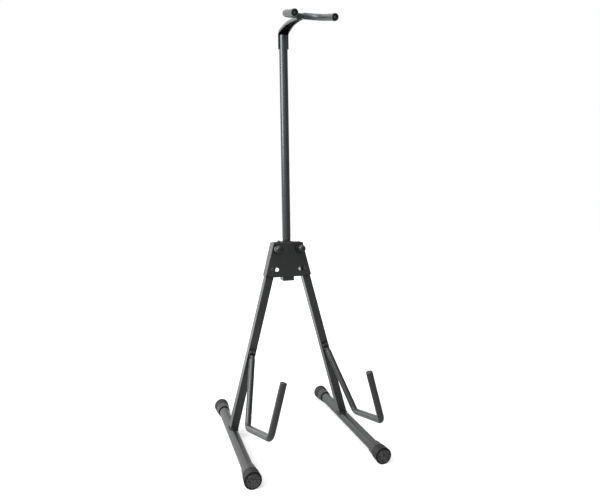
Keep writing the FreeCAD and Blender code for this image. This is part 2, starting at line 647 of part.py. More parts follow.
for side, word in ((-1, "left"), (1, "right")):
    # Leg tube, round at the pivot and saddled onto the foot bar
    tube = new_body(word + "_leg_tube")
    outline = new_sketch(tube, word + "_leg_outline", "XZ_Plane")
    leg_outline(outline)
    blank = pad(tube, outline, "Dims.leg_depth", middle=True)
    leg_half = value("Dims.leg_depth / 2")
    round_edges(tube, blank, "Dims.leg_corner",
                lambda edge: all(near(abs(v.Y), leg_half) for v in edge.Vertexes)
                and not near(edge.Vertexes[0].Z, edge.Vertexes[-1].Z))
    hollow = new_sketch(tube, word + "_leg_hollow", "XZ_Plane")
    hollow_half = "(Dims.leg_width / 2 - Dims.leg_wall)"
    polygon(hollow, [("-" + hollow_half, "-Dims.leg_length - Dims.bar_dia"),
                     (hollow_half, "-Dims.leg_length - Dims.bar_dia"),
                     (hollow_half, "Dims.leg_width"), ("-" + hollow_half, "Dims.leg_width")])
    pocket(tube, hollow, "Dims.leg_depth - 2 * Dims.leg_wall", middle=True)
    saddle = new_sketch(tube, word + "_leg_saddle", "XZ_Plane")
    circle(saddle, "0", "-Dims.leg_length", "Dims.bar_dia")
    circle(saddle, "0", "0", "Dims.bush_dia")
    circle(saddle, "0", "-Dims.pin_reach", "Dims.pin_dia")
    pocket(tube, saddle, "2 * Dims.leg_depth", middle=True)
    rivet_holes = new_sketch(tube, word + "_leg_rivet_holes", "XZ_Plane")
    for end in (-1, 1):
        circle(rivet_holes, "%d * Dims.rivet_half" % end, "-Dims.rivet_at", "Dims.rivet_dia")
    pocket(tube, rivet_holes, "Dims.leg_depth", reverse=True)
    splayed(tube, side)

    # Pivot bush through the leg and a spacer on each side of it
    bush = new_body(word + "_pivot_bush")
    bush_section = new_sketch(bush, word + "_bush_section", "XZ_Plane")
    circle(bush_section, "0", "0", "Dims.bush_dia")
    circle(bush_section, "0", "0", "Dims.bolt_dia + 2 * Dims.bush_run_gap")
    pad(bush, bush_section, "Dims.socket_size - 2 * Dims.bush_end_gap", middle=True)
    splayed(bush, side)

    spacer_thick = "(Dims.socket_size / 2 - Dims.leg_depth / 2 - Dims.bush_end_gap)"
    spacers = [ring(word + "_front_spacer", "Dims.spacer_dia", "Dims.bush_dia", spacer_thick,
                    "0", "-Dims.leg_depth / 2 - " + spacer_thick),
               ring(word + "_rear_spacer", "Dims.spacer_dia", "Dims.bush_dia", spacer_thick,
                    "0", "Dims.leg_depth / 2")]
    splayed(group(word + "_pivot_spacers", spacers), side)

    # Guide pin, hollow at the front, that runs in the slot of the front plate
    pin = new_body(word + "_guide_pin")
    pin_head = new_sketch(pin, word + "_pin_head", "XZ_Plane", "-Dims.leg_depth / 2")
    circle(pin_head, "0", "-Dims.pin_reach", "Dims.pin_head_dia")
    pad(pin, pin_head, "Dims.pin_head_thick", reverse=True)
    pin_shank = new_sketch(pin, word + "_pin_shank", "XZ_Plane", "-Dims.leg_depth / 2")
    circle(pin_shank, "0", "-Dims.pin_reach", "Dims.pin_dia")
    pad(pin, pin_shank, "Dims.leg_depth / 2 + %s + Dims.pin_proud" % outer_face)
    pin_bore = new_sketch(pin, word + "_pin_bore", "XZ_Plane", outer_face + " + Dims.pin_proud")
    circle(pin_bore, "0", "-Dims.pin_reach", "Dims.pin_bore")
    pocket(pin, pin_bore, "Dims.leg_depth / 2")
    splayed(pin, side)

    # Foot bar across the leg
    bar = new_body(word + "_foot_bar")
    bar_section = new_sketch(bar, word + "_bar_section", "XZ_Plane", "Dims.foot_front - Dims.cap_end_wall")
    circle(bar_section, "0", "-Dims.leg_length", "Dims.bar_dia")
    circle(bar_section, "0", "-Dims.leg_length", "Dims.bar_dia - 2 * Dims.bar_wall")
    pad(bar, bar_section, "Dims.foot_front + Dims.foot_rear - 2 * Dims.cap_end_wall", reverse=True)
    splayed(bar, side)

    # Rubber caps on both ends of the foot bar
    for end, reach, half_turn in (("front", "-Dims.foot_front", "0"), ("rear", "Dims.foot_rear", "180")):
        cap = new_body("%s_%s_foot_cap" % (word, end))
        profile = new_sketch(cap, "%s_%s_cap_profile" % (word, end), "YZ_Plane")
        cap_bore = "(Dims.bar_dia / 2 + Dims.cap_fit_gap)"
        dish = "Dims.cap_end_dia / 2 - Dims.cap_rim"
        polygon(profile, [("Dims.cap_length", cap_bore + " + Dims.cap_mouth_gap"),
                          ("Dims.cap_length", "Dims.cap_lip_dia / 2"),
                          ("Dims.cap_mid_at", "Dims.cap_mid_dia / 2 - Dims.cap_step"),
                          ("Dims.cap_mid_at", "Dims.cap_mid_dia / 2"),
                          ("Dims.cap_tread", "Dims.cap_end_dia / 2"),
                          ("0", "Dims.cap_end_dia / 2"),
                          ("0", dish),
                          ("Dims.cap_dish_depth", dish),
                          ("Dims.cap_dish_depth", "0"),
                          ("Dims.cap_end_wall", "0"),
                          ("Dims.cap_end_wall", cap_bore),
                          ("Dims.cap_length - Dims.cap_mouth_depth", cap_bore),
                          ("Dims.cap_length - Dims.cap_mouth_depth", cap_bore + " + Dims.cap_mouth_gap")])
        turned = revolve(cap, profile, "H_Axis")
        rim_radius = value("Dims.cap_end_dia / 2")
        round_edges(cap, turned, "Dims.cap_edge_round",
                    lambda edge: all(near(v.Y, 0) for v in edge.Vertexes)
                    and near(edge.Length, 2 * math.pi * rim_radius))
        place(cap, "%d * %s" % (side, foot_x), reach, "Dims.cap_end_dia / 2", Vector(0, 0, 1), half_turn)
        pieces.append(cap)

    # Hook rod, swept from the tip of the prong back to the flattened end on the leg
    tip_z = "-Dims.hook_prong_top"
    prong = ("-Dims.hook_prong_at", tip_z)
    bends = [("-Dims.hook_prong_at", "-Dims.hook_front_bend"), ("-Dims.hook_rear_at", "-Dims.hook_rear_bend")]
    rod = new_body(word + "_hook_rod")
    rod_path = new_sketch(rod, word + "_hook_path", "YZ_Plane")
    rounded_path(rod_path, [prong] + bends + [along_hook("Dims.paddle_neck / 2")], "Dims.hook_bend")
    rod_section = new_sketch(rod, word + "_hook_section", "XY_Plane", tip_z)
    circle(rod_section, "0", "-Dims.hook_prong_at", "Dims.hook_rod_dia")
    pipe(rod, rod_section, rod_path)
    paddle = new_sketch(rod, word + "_hook_paddle", "XZ_Plane", "Dims.leg_depth / 2")
    paddle_half = "Dims.paddle_width / 2"
    paddle_foot = "-Dims.paddle_top - Dims.paddle_length"
    polygon(paddle, [("-(%s)" % paddle_half, paddle_foot), (paddle_half, paddle_foot),
                     (paddle_half, "-Dims.paddle_top - Dims.paddle_round"),
                     (paddle_half + " - Dims.paddle_round", "-Dims.paddle_top"),
                     ("Dims.paddle_round - " + paddle_half, "-Dims.paddle_top"),
                     ("-(%s)" % paddle_half, "-Dims.paddle_top - Dims.paddle_round")])
    for end in (-1, 1):
        circle(paddle, "%d * Dims.rivet_half" % end, "-Dims.rivet_at", "Dims.rivet_dia")
    pad(rod, paddle, "Dims.paddle_thick")
    neck_top = new_sketch(rod, word + "_neck_top", "XY_Plane", paddle_foot)
    leg_face = "-Dims.leg_depth / 2"
    polygon(neck_top, [("-(%s)" % paddle_half, leg_face), (paddle_half, leg_face),
                       (paddle_half, leg_face + " - Dims.paddle_thick"),
                       ("-(%s)" % paddle_half, leg_face + " - Dims.paddle_thick")])
    neck_end = new_sketch(rod, word + "_neck_end", "XY_Plane", along_hook("Dims.paddle_neck")[1])
    neck_end.AttachmentOffset = Placement(Vector(0, 0, 0), Rotation(Vector(-1, 0, 0), 1))
    neck_end.setExpression("AttachmentOffset.Base.y", along_hook("Dims.paddle_neck")[0])
    neck_end.setExpression("AttachmentOffset.Rotation.Angle", hook_slope)
    circle(neck_end, "0", "0", "Dims.hook_rod_dia - 2 * Dims.neck_inset")
    doc.recompute()
    neck = rod.newObject("PartDesign::AdditiveLoft", "Neck")
    neck.Profile = neck_top
    neck.Sections = [neck_end]
    splayed(rod, side)

    # Hook sleeve, closed over the tip of the prong
    sleeve = new_body(word + "_hook_sleeve")
    cover_z = "Dims.hook_tip_cover - Dims.hook_prong_top"
    start = along_hook("Dims.hook_sleeve_start")
    sleeve_path = new_sketch(sleeve, word + "_sleeve_path", "YZ_Plane")
    rounded_path(sleeve_path, [("-Dims.hook_prong_at", cover_z)] + bends + [start], "Dims.hook_bend")
    sleeve_section = new_sketch(sleeve, word + "_sleeve_section", "XY_Plane", cover_z)
    circle(sleeve_section, "0", "-Dims.hook_prong_at", "Dims.hook_sleeve_dia")
    pipe(sleeve, sleeve_section, sleeve_path)
    core_path = new_sketch(sleeve, word + "_core_path", "YZ_Plane")
    rounded_path(core_path, [prong] + bends + [along_hook("Dims.paddle_neck / 2")], "Dims.hook_bend")
    core_section = new_sketch(sleeve, word + "_core_section", "XY_Plane", tip_z)
    circle(core_section, "0", "-Dims.hook_prong_at", "Dims.hook_rod_dia")
    pipe(sleeve, core_section, core_path, cut=True)
    splayed(sleeve, side)

    # Rivets through the flattened end and the front wall of the leg
    rivets = []
    for end, name in ((-1, "inner"), (1, "outer")):
        shank = doc.addObject("Part::Cylinder", "%s_%s_rivet_shank" % (word, name))
        shank.setExpression("Radius", "Dims.rivet_dia / 2")
        shank.setExpression("Height", "Dims.leg_wall + Dims.paddle_thick")
        rivet_x = "%d * Dims.rivet_half" % end
        place(shank, rivet_x, "Dims.leg_wall - Dims.leg_depth / 2", "-Dims.rivet_at", Vector(1, 0, 0), "90")
        head = doc.addObject("Part::Cone", "%s_%s_rivet_head" % (word, name))
        head.setExpression("Radius1", "Dims.rivet_head_dia / 2")
        head.setExpression("Radius2", "Dims.rivet_dia / 2")
        head.setExpression("Height", "Dims.rivet_head_thick")
        place(head, rivet_x, leg_face + " - Dims.paddle_thick", "-Dims.rivet_at", Vector(1, 0, 0), "90")
        rivet = doc.addObject("Part::Fuse", "%s_%s_rivet" % (word, name))
        rivet.Base = shank
        rivet.Tool = head
        rivets.append(rivet)
    splayed(group(word + "_hook_rivets", rivets), side)

# Post with a plug in its bottom end, standing on the end plug of the socket
plug_seat = "(Dims.plug_spigot - Dims.socket_drop + Dims.post_rest_gap)"
post_foot = "(%s + Dims.post_plug_flange + Dims.post_rest_gap)" % plug_seat
post_top = "(%s + Dims.post_length)" % post_foot
post_bore = "(Dims.post_dia - 2 * Dims.post_wall)"

post_plug = new_body("post_bottom_plug")
plug_disc = new_sketch(post_plug, "post_plug_disc", "XY_Plane", plug_seat)
circle(plug_disc, "0", "0", "Dims.post_dia")
pad(post_plug, plug_disc, "Dims.post_plug_flange")
plug_neck = new_sketch(post_plug, "post_plug_neck", "XY_Plane", plug_seat + " + Dims.post_plug_flange")
circle(plug_neck, "0", "0", post_bore + " - 2 * Dims.post_run_gap")
pad(post_plug, plug_neck, "Dims.post_plug_spigot")
place(post_plug, z=pivot_z)
pieces.append(post_plug)

post = new_body("post_tube")
post_section = new_sketch(post, "post_section", "XY_Plane", post_foot)
circle(post_section, "0", "0", "Dims.post_dia")
circle(post_section, "0", "0", post_bore)
pad(post, post_section, "Dims.post_length")
post_holes = new_sketch(post, "post_rivet_holes", "XZ_Plane")
for height in ("Dims.strap_rivet_low", "Dims.strap_rivet_high"):
    circle(post_holes, "0", "%s - %s" % (post_top, height), "Dims.rivet_dia")
pocket(post, post_holes)
place(post, z=pivot_z)
pieces.append(post)

# Neck bracket: half round behind the post, bent forward level, then arched down and narrowed to the yoke
strap_out = "(Dims.post_dia / 2 + Dims.strap_gap + Dims.strap_thick)"
bend_y = "(%s - Dims.strap_bend)" % strap_out
bend_z = "(%s - Dims.strap_above)" % post_top
crest_y = "(%s - Dims.strap_level)" % bend_y
crest_z = "(%s + Dims.strap_bend)" % bend_z
seat_y = "(Dims.yoke_rod_dia / 2 * sin(Dims.strap_droop_angle) - Dims.yoke_reach)"
strap_run = "(%s - %s)" % (crest_y, seat_y)
seat_z = "(%s - %s * tan(Dims.strap_droop_angle / 2))" % (crest_z, strap_run)
yoke_z = "(%s + Dims.yoke_rod_dia / 2 * cos(Dims.strap_droop_angle))" % seat_z


def strap_section(top, forward, radius, wrap):
    # a curved strip of the strap's thickness, its crest at top and its hollow side down or forward
    thick = value("Dims.strap_thick")
    across = Vector(1, 0, 0)
    up = forward.cross(across)
    centre = top - up * radius

    def rim(size, angle):
        return centre + across * (size * math.sin(angle)) + up * (size * math.cos(angle))

    inner = radius - thick
    outer_arc = Part.Arc(rim(radius, -wrap), top, rim(radius, wrap)).toShape()
    far_side = Part.makeLine(rim(radius, wrap), rim(inner, wrap))
    inner_arc = Part.Arc(rim(inner, wrap), centre + up * inner, rim(inner, -wrap)).toShape()
    near_side = Part.makeLine(rim(inner, -wrap), rim(radius, -wrap))
    return Part.Wire([outer_arc, far_side, inner_arc, near_side])


def strap_shape():
    tail_radius = value(strap_out)
    wrap = math.radians(value("Dims.strap_wrap_angle"))
    seat_wrap = math.radians(value("Dims.strap_seat_wrap_angle"))
    droop = math.radians(value("Dims.strap_droop_angle"))
    bend = value("Dims.strap_bend")
    hub = Vector(0, value(bend_y), value(bend_z))
    tail_end = value("%s - Dims.strap_tail" % post_top)
    tail = [strap_section(Vector(0, tail_radius, z), Vector(0, 0, 1), tail_radius, wrap)
            for z in (tail_end, hub.z)]
    tail_half = tail_radius * math.sin(wrap)
    crest_half = value("Dims.strap_crest_width / 2")
    end_half = value("Dims.strap_end_width / 2")
    crest = Vector(0, value(crest_y), value(crest_z))
    sweep = value(strap_run) / math.sin(droop)
    level = value("Dims.strap_level")
    length = level + sweep * droop
    spacing = crest_half / 2
    bent = [tail[1]]
    steps = max(3, round(bend * math.pi / 2 / spacing))
    for step in range(1, steps + 1):
        share = step / steps
        angle = math.pi / 2 * share
        heading = Vector(0, -math.sin(angle), math.cos(angle))
        top = hub + Vector(0, math.cos(angle), math.sin(angle)) * bend
        half = tail_half + (crest_half - tail_half) * share
        bent.append(strap_section(top, heading, half / math.sin(wrap), wrap))
    steps = max(3, round(length / spacing))
    for step in range(1, steps + 1):
        share = step / steps
        walk = length * share - level
        angle = max(0, walk) / sweep
        heading = Vector(0, -math.cos(angle), -math.sin(angle))
        top = crest - Vector(0, math.sin(angle), 1 - math.cos(angle)) * sweep - Vector(0, min(0, walk), 0)
        half = crest_half + (end_half - crest_half) * share
        opened = wrap + (seat_wrap - wrap) * share ** 8
        bent.append(strap_section(top, heading, half / math.sin(opened), opened))
    over = top + heading * value("Dims.strap_over")
    end = strap_section(over, heading, end_half / math.sin(seat_wrap), seat_wrap)
    lower = Part.makeLoft(tail, True, True)
    upper = Part.makeLoft(bent, True, False)
    lip = Part.makeLoft([bent[-1], end], True, True)
    blank = lower.fuse([upper, lip])
    for height in ("Dims.strap_rivet_low", "Dims.strap_rivet_high"):
        hole = Part.makeCylinder(value("Dims.rivet_dia / 2"), value("%s + Dims.strap_thick" % strap_out),
                                 Vector(0, 0, value("%s - %s" % (post_top, height))), Vector(0, 1, 0))
        blank = blank.cut(hole)
    return blank


bracket = doc.addObject("Part::Feature", "neck_bracket")
bracket.Label = "neck_bracket"
bracket.Shape = strap_shape()
place(bracket, z=pivot_z)
pieces.append(bracket)

# Rivets through the bracket and the rear wall of the post
rivets = []
rivet_root = "(Dims.post_dia / 2 - Dims.post_wall)"
for name, height in (("low", "Dims.strap_rivet_low"), ("high", "Dims.strap_rivet_high")):
    shank = doc.addObject("Part::Cylinder", name + "_bracket_rivet_shank")
    shank.setExpression("Radius", "Dims.rivet_dia / 2")
    shank.setExpression("Height", "%s - %s" % (strap_out, rivet_root))
    rivet_z = "%s - %s" % (post_top, height)
    place(shank, "0", rivet_root, rivet_z, Vector(-1, 0, 0), "90")
    head = doc.addObject("Part::Cone", name + "_bracket_rivet_head")
    head.setExpression("Radius1", "Dims.rivet_head_dia / 2")
    head.setExpression("Radius2", "Dims.rivet_dia / 2")
    head.setExpression("Height", "Dims.rivet_head_thick")
    place(head, "0", strap_out, rivet_z, Vector(-1, 0, 0), "90")
    rivet = doc.addObject("Part::Fuse", name + "_bracket_rivet")
    rivet.Base = shank
    rivet.Tool = head
    rivets.append(rivet)
bracket_rivets = group("bracket_rivets", rivets)
place(bracket_rivets, z=pivot_z)
pieces.append(bracket_rivets)

# Yoke: U-shaped rod drooping forward, sleeves on its arms and a cap on each end
yoke_height = "%s + %s" % (pivot_z, yoke_z)


def on_yoke(item):
    place(item, y="-Dims.yoke_reach", z=yoke_height, turn=Vector(1, 0, 0), angle="Dims.yoke_droop_angle")
    pieces.append(item)


def yoke_curve(sketch, side, stop, bare):
    # one straight arm and its part of the half circle, up to the angle left bare at the back
    radius = value("Dims.yoke_radius")
    tip = Vector(side * radius, -radius - value(stop), 0)
    turn = Vector(side * radius, -radius, 0)
    centre = Vector(0, -radius, 0)
    rest = math.radians(value(bare))
    half_way = (math.pi / 2 + rest) / 2

    def on_arc(angle):
        return centre + Vector(side * radius * math.sin(angle), radius * math.cos(angle), 0)

    arm = sketch.addGeometry(Part.LineSegment(tip, turn))
    arc = add_arc(sketch, turn, on_arc(half_way), on_arc(rest))
    enter = near_end(sketch, arc, turn)
    sketch.addConstraint(Sketcher.Constraint("Tangent", arm, 2, arc, enter))
    sketch.addConstraint(Sketcher.Constraint("Vertical", arm))
    pin_point(sketch, arc, 3, "0", "-Dims.yoke_radius")
    bind(sketch, "Radius", (arc,), "Dims.yoke_radius")
    bind(sketch, "DistanceY", (-1, 1, arm, 1), "-Dims.yoke_radius - (%s)" % stop)
    bind(sketch, "DistanceX", (-1, 1, arc, 3 - enter), "%d * Dims.yoke_radius * sin(%s)" % (side, bare))


rod_stop = "Dims.yoke_arm - Dims.yoke_cap_wall"
sleeve_stop = "Dims.yoke_arm - Dims.yoke_cap_length"
bare_angle = "Dims.yoke_bare_angle"

yoke = new_body("yoke_rod")
for side, word in ((-1, "left"), (1, "right")):
    yoke_path = new_sketch(yoke, word + "_yoke_path", "XY_Plane")
    yoke_curve(yoke_path, side, rod_stop, "0")
    yoke_section = new_sketch(yoke, word + "_yoke_section", "XZ_Plane", "Dims.yoke_radius + " + rod_stop)
    circle(yoke_section, "%d * Dims.yoke_radius" % side, "0", "Dims.yoke_rod_dia")
    pipe(yoke, yoke_section, yoke_path)
on_yoke(yoke)

for side, word in ((-1, "left"), (1, "right")):
    cover = new_body(word + "_yoke_sleeve")
    cover_path = new_sketch(cover, word + "_cover_path", "XY_Plane")
    yoke_curve(cover_path, side, sleeve_stop, bare_angle)
    cover_end = "Dims.yoke_radius + " + sleeve_stop
    cover_section = new_sketch(cover, word + "_cover_section", "XZ_Plane", cover_end)
    circle(cover_section, "%d * Dims.yoke_radius" % side, "0", "Dims.yoke_sleeve_dia")
    circle(cover_section, "%d * Dims.yoke_radius" % side, "0", "Dims.yoke_rod_dia")
    pipe(cover, cover_section, cover_path)
    on_yoke(cover)

    cap = new_body(word + "_yoke_cap")
    arm_x = "%d * Dims.yoke_radius" % side
    cap_back = new_sketch(cap, word + "_yoke_cap_back", "XZ_Plane", cover_end)
    circle(cap_back, arm_x, "0", "Dims.yoke_cap_dia")
    pad(cap, cap_back, "Dims.yoke_cap_length")
    cap_bore = new_sketch(cap, word + "_yoke_cap_bore", "XZ_Plane", cover_end)
    circle(cap_bore, arm_x, "0", "Dims.yoke_rod_dia")
    pocket(cap, cap_bore, "Dims.yoke_cap_length - Dims.yoke_cap_wall", reverse=True)
    cap_dish = new_sketch(cap, word + "_yoke_cap_dish", "XZ_Plane", "Dims.yoke_radius + Dims.yoke_arm")
    circle(cap_dish, arm_x, "0", "Dims.yoke_cap_dish")
    dished = pocket(cap, cap_dish, "Dims.yoke_cap_dish_depth")
    cap_end = -value("Dims.yoke_radius + Dims.yoke_arm")
    cap_girth = value("Dims.yoke_cap_dia") * math.pi
    round_edges(cap, dished, "Dims.yoke_cap_round",
                lambda edge: all(near(v.Y, cap_end) for v in edge.Vertexes)
                and near(edge.Length, cap_girth))
    on_yoke(cap)

# Everything is rebuilt, checked and written one file per piece
doc.recompute()
for item in doc.Objects:
    if any(word in item.State for word in ("Invalid", "Error")):
        raise RuntimeError("%s did not rebuild: %s" % (item.Label, item.State))
os.makedirs("parts", exist_ok=True)
for piece in pieces:
    if piece.Shape.isNull() or not piece.Shape.isValid():
        raise RuntimeError("%s has no sound shape" % piece.Label)
    piece.Shape.exportStep("parts/%s.step" % piece.Label)
    box = piece.Shape.BoundBox
    print("%-24s %d solid(s) %9.1f mm3  x %.1f %.1f  y %.1f %.1f  z %.1f %.1f" % (
        piece.Label, len(piece.Shape.Solids), piece.Shape.Volume,
        box.XMin, box.XMax, box.YMin, box.YMax, box.ZMin, box.ZMax))
print("pieces", len(pieces))
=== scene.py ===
import json
import math
import bmesh
import bpy
from mathutils import Matrix, Vector


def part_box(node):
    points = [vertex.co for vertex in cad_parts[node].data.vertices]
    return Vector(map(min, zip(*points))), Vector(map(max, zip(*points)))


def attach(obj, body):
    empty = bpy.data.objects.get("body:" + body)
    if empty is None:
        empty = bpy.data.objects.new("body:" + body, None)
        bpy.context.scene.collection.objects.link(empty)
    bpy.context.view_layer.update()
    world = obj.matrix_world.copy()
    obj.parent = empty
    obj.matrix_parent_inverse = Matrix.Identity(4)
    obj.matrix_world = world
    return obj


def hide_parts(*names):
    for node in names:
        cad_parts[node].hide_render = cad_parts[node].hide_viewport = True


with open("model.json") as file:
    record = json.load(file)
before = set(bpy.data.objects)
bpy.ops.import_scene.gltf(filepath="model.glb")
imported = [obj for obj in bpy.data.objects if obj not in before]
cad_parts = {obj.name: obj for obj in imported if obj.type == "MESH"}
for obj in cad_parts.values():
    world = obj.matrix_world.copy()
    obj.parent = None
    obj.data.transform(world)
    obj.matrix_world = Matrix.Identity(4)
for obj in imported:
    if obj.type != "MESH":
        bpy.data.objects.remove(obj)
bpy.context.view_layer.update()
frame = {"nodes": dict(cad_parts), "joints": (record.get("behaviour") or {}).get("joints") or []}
print("frame loaded:", len(frame["nodes"]), "CAD nodes")

scene = bpy.context.scene
scene.view_settings.view_transform = "Standard"
sides = (("left", -1), ("right", 1))


def readStand():
    # pivot, leg and foot of the right side as the frame has them, in metres
    fold = next(joint for joint in frame["joints"] if joint["name"] == "right_leg_fold")
    pivotX, _, pivotZ = fold["pos_m"]
    barLow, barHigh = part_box("right_foot_bar")
    legLow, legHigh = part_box("right_leg_tube")
    footX = (barLow.x + barHigh.x) / 2
    footZ = (barLow.z + barHigh.z) / 2
    return {
        "pivotX": pivotX,
        "pivotZ": pivotZ,
        "legSplay": math.radians(fold["range_deg"][1]),  # the fold ends upright
        "legLength": math.hypot(footX - pivotX, pivotZ - footZ),
        "legHalfWidth": 0.0095,
        "legHalfDepth": (legHigh.y - legLow.y) / 2,
        "barRadius": 0.0125,
        "footX": footX,
        "footZ": footZ,
        "frontEnd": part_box("right_front_foot_cap")[0].y,
        "rearEnd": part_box("right_rear_foot_cap")[1].y,
    }


stand = readStand()


def legMatrix(side):
    turn = Matrix.Rotation(-side * stand["legSplay"], 4, "Y")
    return Matrix.Translation((side * stand["pivotX"], 0, stand["pivotZ"])) @ turn


# steps that the finishes are built from
def newFinish(name):
    finish = bpy.data.materials.new(name)
    finish.use_nodes = True
    tree = finish.node_tree
    return finish, tree, tree.nodes["Principled BSDF"]


def objectSpace(tree):
    return tree.nodes.new("ShaderNodeTexCoord").outputs["Object"]


def join(tree, source, socket):
    # sets a plain number, links anything else
    if isinstance(source, (int, float)):
        socket.default_value = source
    else:
        tree.links.new(source, socket)


def noise(tree, where, kind):
    node = tree.nodes.new("ShaderNodeTexNoise")
    node.inputs["Scale"].default_value = kind["scale"]
    node.inputs["Detail"].default_value = kind["detail"]
    node.inputs["Roughness"].default_value = kind.get("roughness", 0.5)
    tree.links.new(where, node.inputs["Vector"])
    return node.outputs["Fac"]


def spread(tree, source, fromLow, fromHigh, toLow=0.0, toHigh=1.0):
    node = tree.nodes.new("ShaderNodeMapRange")
    for key, number in (("From Min", fromLow), ("From Max", fromHigh), ("To Min", toLow), ("To Max", toHigh)):
        node.inputs[key].default_value = number
    tree.links.new(source, node.inputs["Value"])
    return node.outputs["Result"]


def patches(tree, where, kind):
    # a noise, with its span spread over what the patches give
    return spread(tree, noise(tree, where, kind), *kind["span"], *kind["gives"])


def relief(tree, where, kind, below=None):
    node = tree.nodes.new("ShaderNodeBump")
    node.inputs["Strength"].default_value = kind["strength"]
    node.inputs["Distance"].default_value = kind["height"]
    tree.links.new(noise(tree, where, kind), node.inputs["Height"])
    if below is not None:
        tree.links.new(below, node.inputs["Normal"])
    return node.outputs["Normal"]


def mathStep(tree, operation, first, second):
    node = tree.nodes.new("ShaderNodeMath")
    node.operation = operation
    join(tree, first, node.inputs[0])
    join(tree, second, node.inputs[1])
    return node.outputs["Value"]


def times(tree, first, second):
    return mathStep(tree, "MULTIPLY", first, second)


def atLeast(tree, first, second):
    return mathStep(tree, "MAXIMUM", first, second)


def blend(tree, share, low, high):
    # low where share is 0 and high where it is 1, each a number or a socket
    node = tree.nodes.new("ShaderNodeMix")
    tree.links.new(share, node.inputs["Factor"])
    join(tree, low, node.inputs["A"])
    join(tree, high, node.inputs["B"])
    return node.outputs["Result"]


def vectorStep(tree, operation, first, second=None):
    node = tree.nodes.new("ShaderNodeVectorMath")
    node.operation = operation
    tree.links.new(first, node.inputs[0])
    if second is not None:
        node.inputs[1].default_value = second
    return node.outputs["Value"] if operation in ("LENGTH", "DOT_PRODUCT") else node.outputs["Vector"]


def ramp(tree, source, stops):
    node = tree.nodes.new("ShaderNodeValToRGB")
    for band, (at, colour) in zip(node.color_ramp.elements, stops):
        band.position = at
        band.color = tuple(colour) + (1.0,)
    tree.links.new(source, node.inputs["Fac"])
    return node.outputs["Color"]


def mixColour(tree, share, under, over):
    node = tree.nodes.new("ShaderNodeMix")
    node.data_type = "RGBA"
    tree.links.new(share, node.inputs["Factor"])
    tree.links.new(under, node.inputs["A"])
    node.inputs["B"].default_value = tuple(over) + (1.0,)
    return node.outputs["Result"]


noiseSpan = (0.3, 0.7)  # nearly all values of a noise lie between these
# settings for the rubbed edges and for the painted shade in gaps and corners
wearAndShade = {
    "samples": 6,
    "openLight": 0.95,  # a place this open has no painted shade
    "shutLight": 0.45,  # and one this narrow is full of it
    "flatTurn": 0.98,  # cosine between a face and its rounded edge where wear starts
    "edgeTurn": 0.72,  # and where it is full
}


def cloudyTone(tree, where, look):
    low, high = noiseSpan
    return ramp(tree, noise(tree, where, look["clouds"]), [(low, look["dark"]), (high, look["light"])])


def crevices(tree, reach):
    # 1 in narrow gaps and corners, 0 in the open: where the painted shade goes
    node = tree.nodes.new("ShaderNodeAmbientOcclusion")
    node.samples = wearAndShade["samples"]
    node.inputs["Distance"].default_value = reach
    return spread(tree, node.outputs["AO"], wearAndShade["openLight"], wearAndShade["shutLight"])


def roundedEdges(tree, width):
    # a normal that rounds every edge
    node = tree.nodes.new("ShaderNodeBevel")
    node.samples = wearAndShade["samples"]
    node.inputs["Radius"].default_value = width
    return node.outputs["Normal"]


def edgeMask(tree, rounded):
    # 1 on the edges, 0 on the faces
    face = tree.nodes.new("ShaderNodeNewGeometry")
    node = tree.nodes.new("ShaderNodeVectorMath")
    node.operation = "DOT_PRODUCT"
    tree.links.new(rounded, node.inputs[0])
    tree.links.new(face.outputs["Normal"], node.inputs[1])
    return spread(tree, node.outputs["Value"], wearAndShade["flatTurn"], wearAndShade["edgeTurn"])


def feed(tree, shader, tone, rough, normal):
    for key, source in (("Base Color", tone), ("Roughness", rough), ("Normal", normal)):
        tree.links.new(source, shader.inputs[key])


# black coat on the tubes and plates, with painted shade darkening its gaps and corners, and rubbed on the
# edges
powderCoat = {
    "dark": (0.0120, 0.0125, 0.0126),
    "light": (0.0185, 0.0193, 0.0194),
    "clouds": {"scale": 16.0, "detail": 4.0},
    "worn": (0.060, 0.060, 0.058),
    "edgeWidth": 0.0006,
    "scuffs": {"scale": 70.0, "detail": 5.0, "span": (0.42, 0.66), "gives": (0.0, 0.75)},
    "rough": {"scale": 45.0, "detail": 4.0, "span": noiseSpan, "gives": (0.25, 0.34)},
    "specular": 0.42,
    "tint": (1.0, 1.0, 1.0),
    # painted shade: darker and less shiny in gaps and corners, where shade falls
    "grime": (0.0030, 0.0030, 0.0028),
    "grimeReach": 0.007,
    "grimeSpecular": 0.06,
    "grain": {"scale": 1500.0, "detail": 2.0, "strength": 0.03, "height": 0.00004},
    "peel": {"scale": 330.0, "detail": 2.0, "strength": 0.03, "height": 0.00010},  # ripples of about 3 mm
}
# the post and what it carries are smoother, brighter and slightly blue
postCoat = {
    **powderCoat,
    "rough": {**powderCoat["rough"], "gives": (0.24, 0.27)},
    "specular": 0.57,
    "tint": (0.86, 0.96, 1.0),
    "grain": {**powderCoat["grain"], "strength": 0.010},
    "peel": {**powderCoat["peel"], "strength": 0.010},
}
# the foot bars shine more than the legs
barCoat = {**powderCoat, "specular": 0.68}


def makePowderCoat(name, look):
    finish, tree, shader = newFinish(name)
    where = objectSpace(tree)
    rounded = roundedEdges(tree, look["edgeWidth"])
    worn = times(tree, edgeMask(tree, rounded), patches(tree, where, look["scuffs"]))
    # painted shade: the tone darkens and the shine drops in gaps and corners
    grime = crevices(tree, look["grimeReach"])
    tone = mixColour(tree, worn, cloudyTone(tree, where, look), look["worn"])
    tone = mixColour(tree, grime, tone, look["grime"])
    gloss = blend(tree, grime, look["specular"], look["grimeSpecular"])
    tree.links.new(gloss, shader.inputs["Specular IOR Level"])
    shader.inputs["Specular Tint"].default_value = look["tint"] + (1.0,)
    normal = relief(tree, where, look["peel"], relief(tree, where, look["grain"], rounded))
    feed(tree, shader, tone, patches(tree, where, look["rough"]), normal)
    return finish


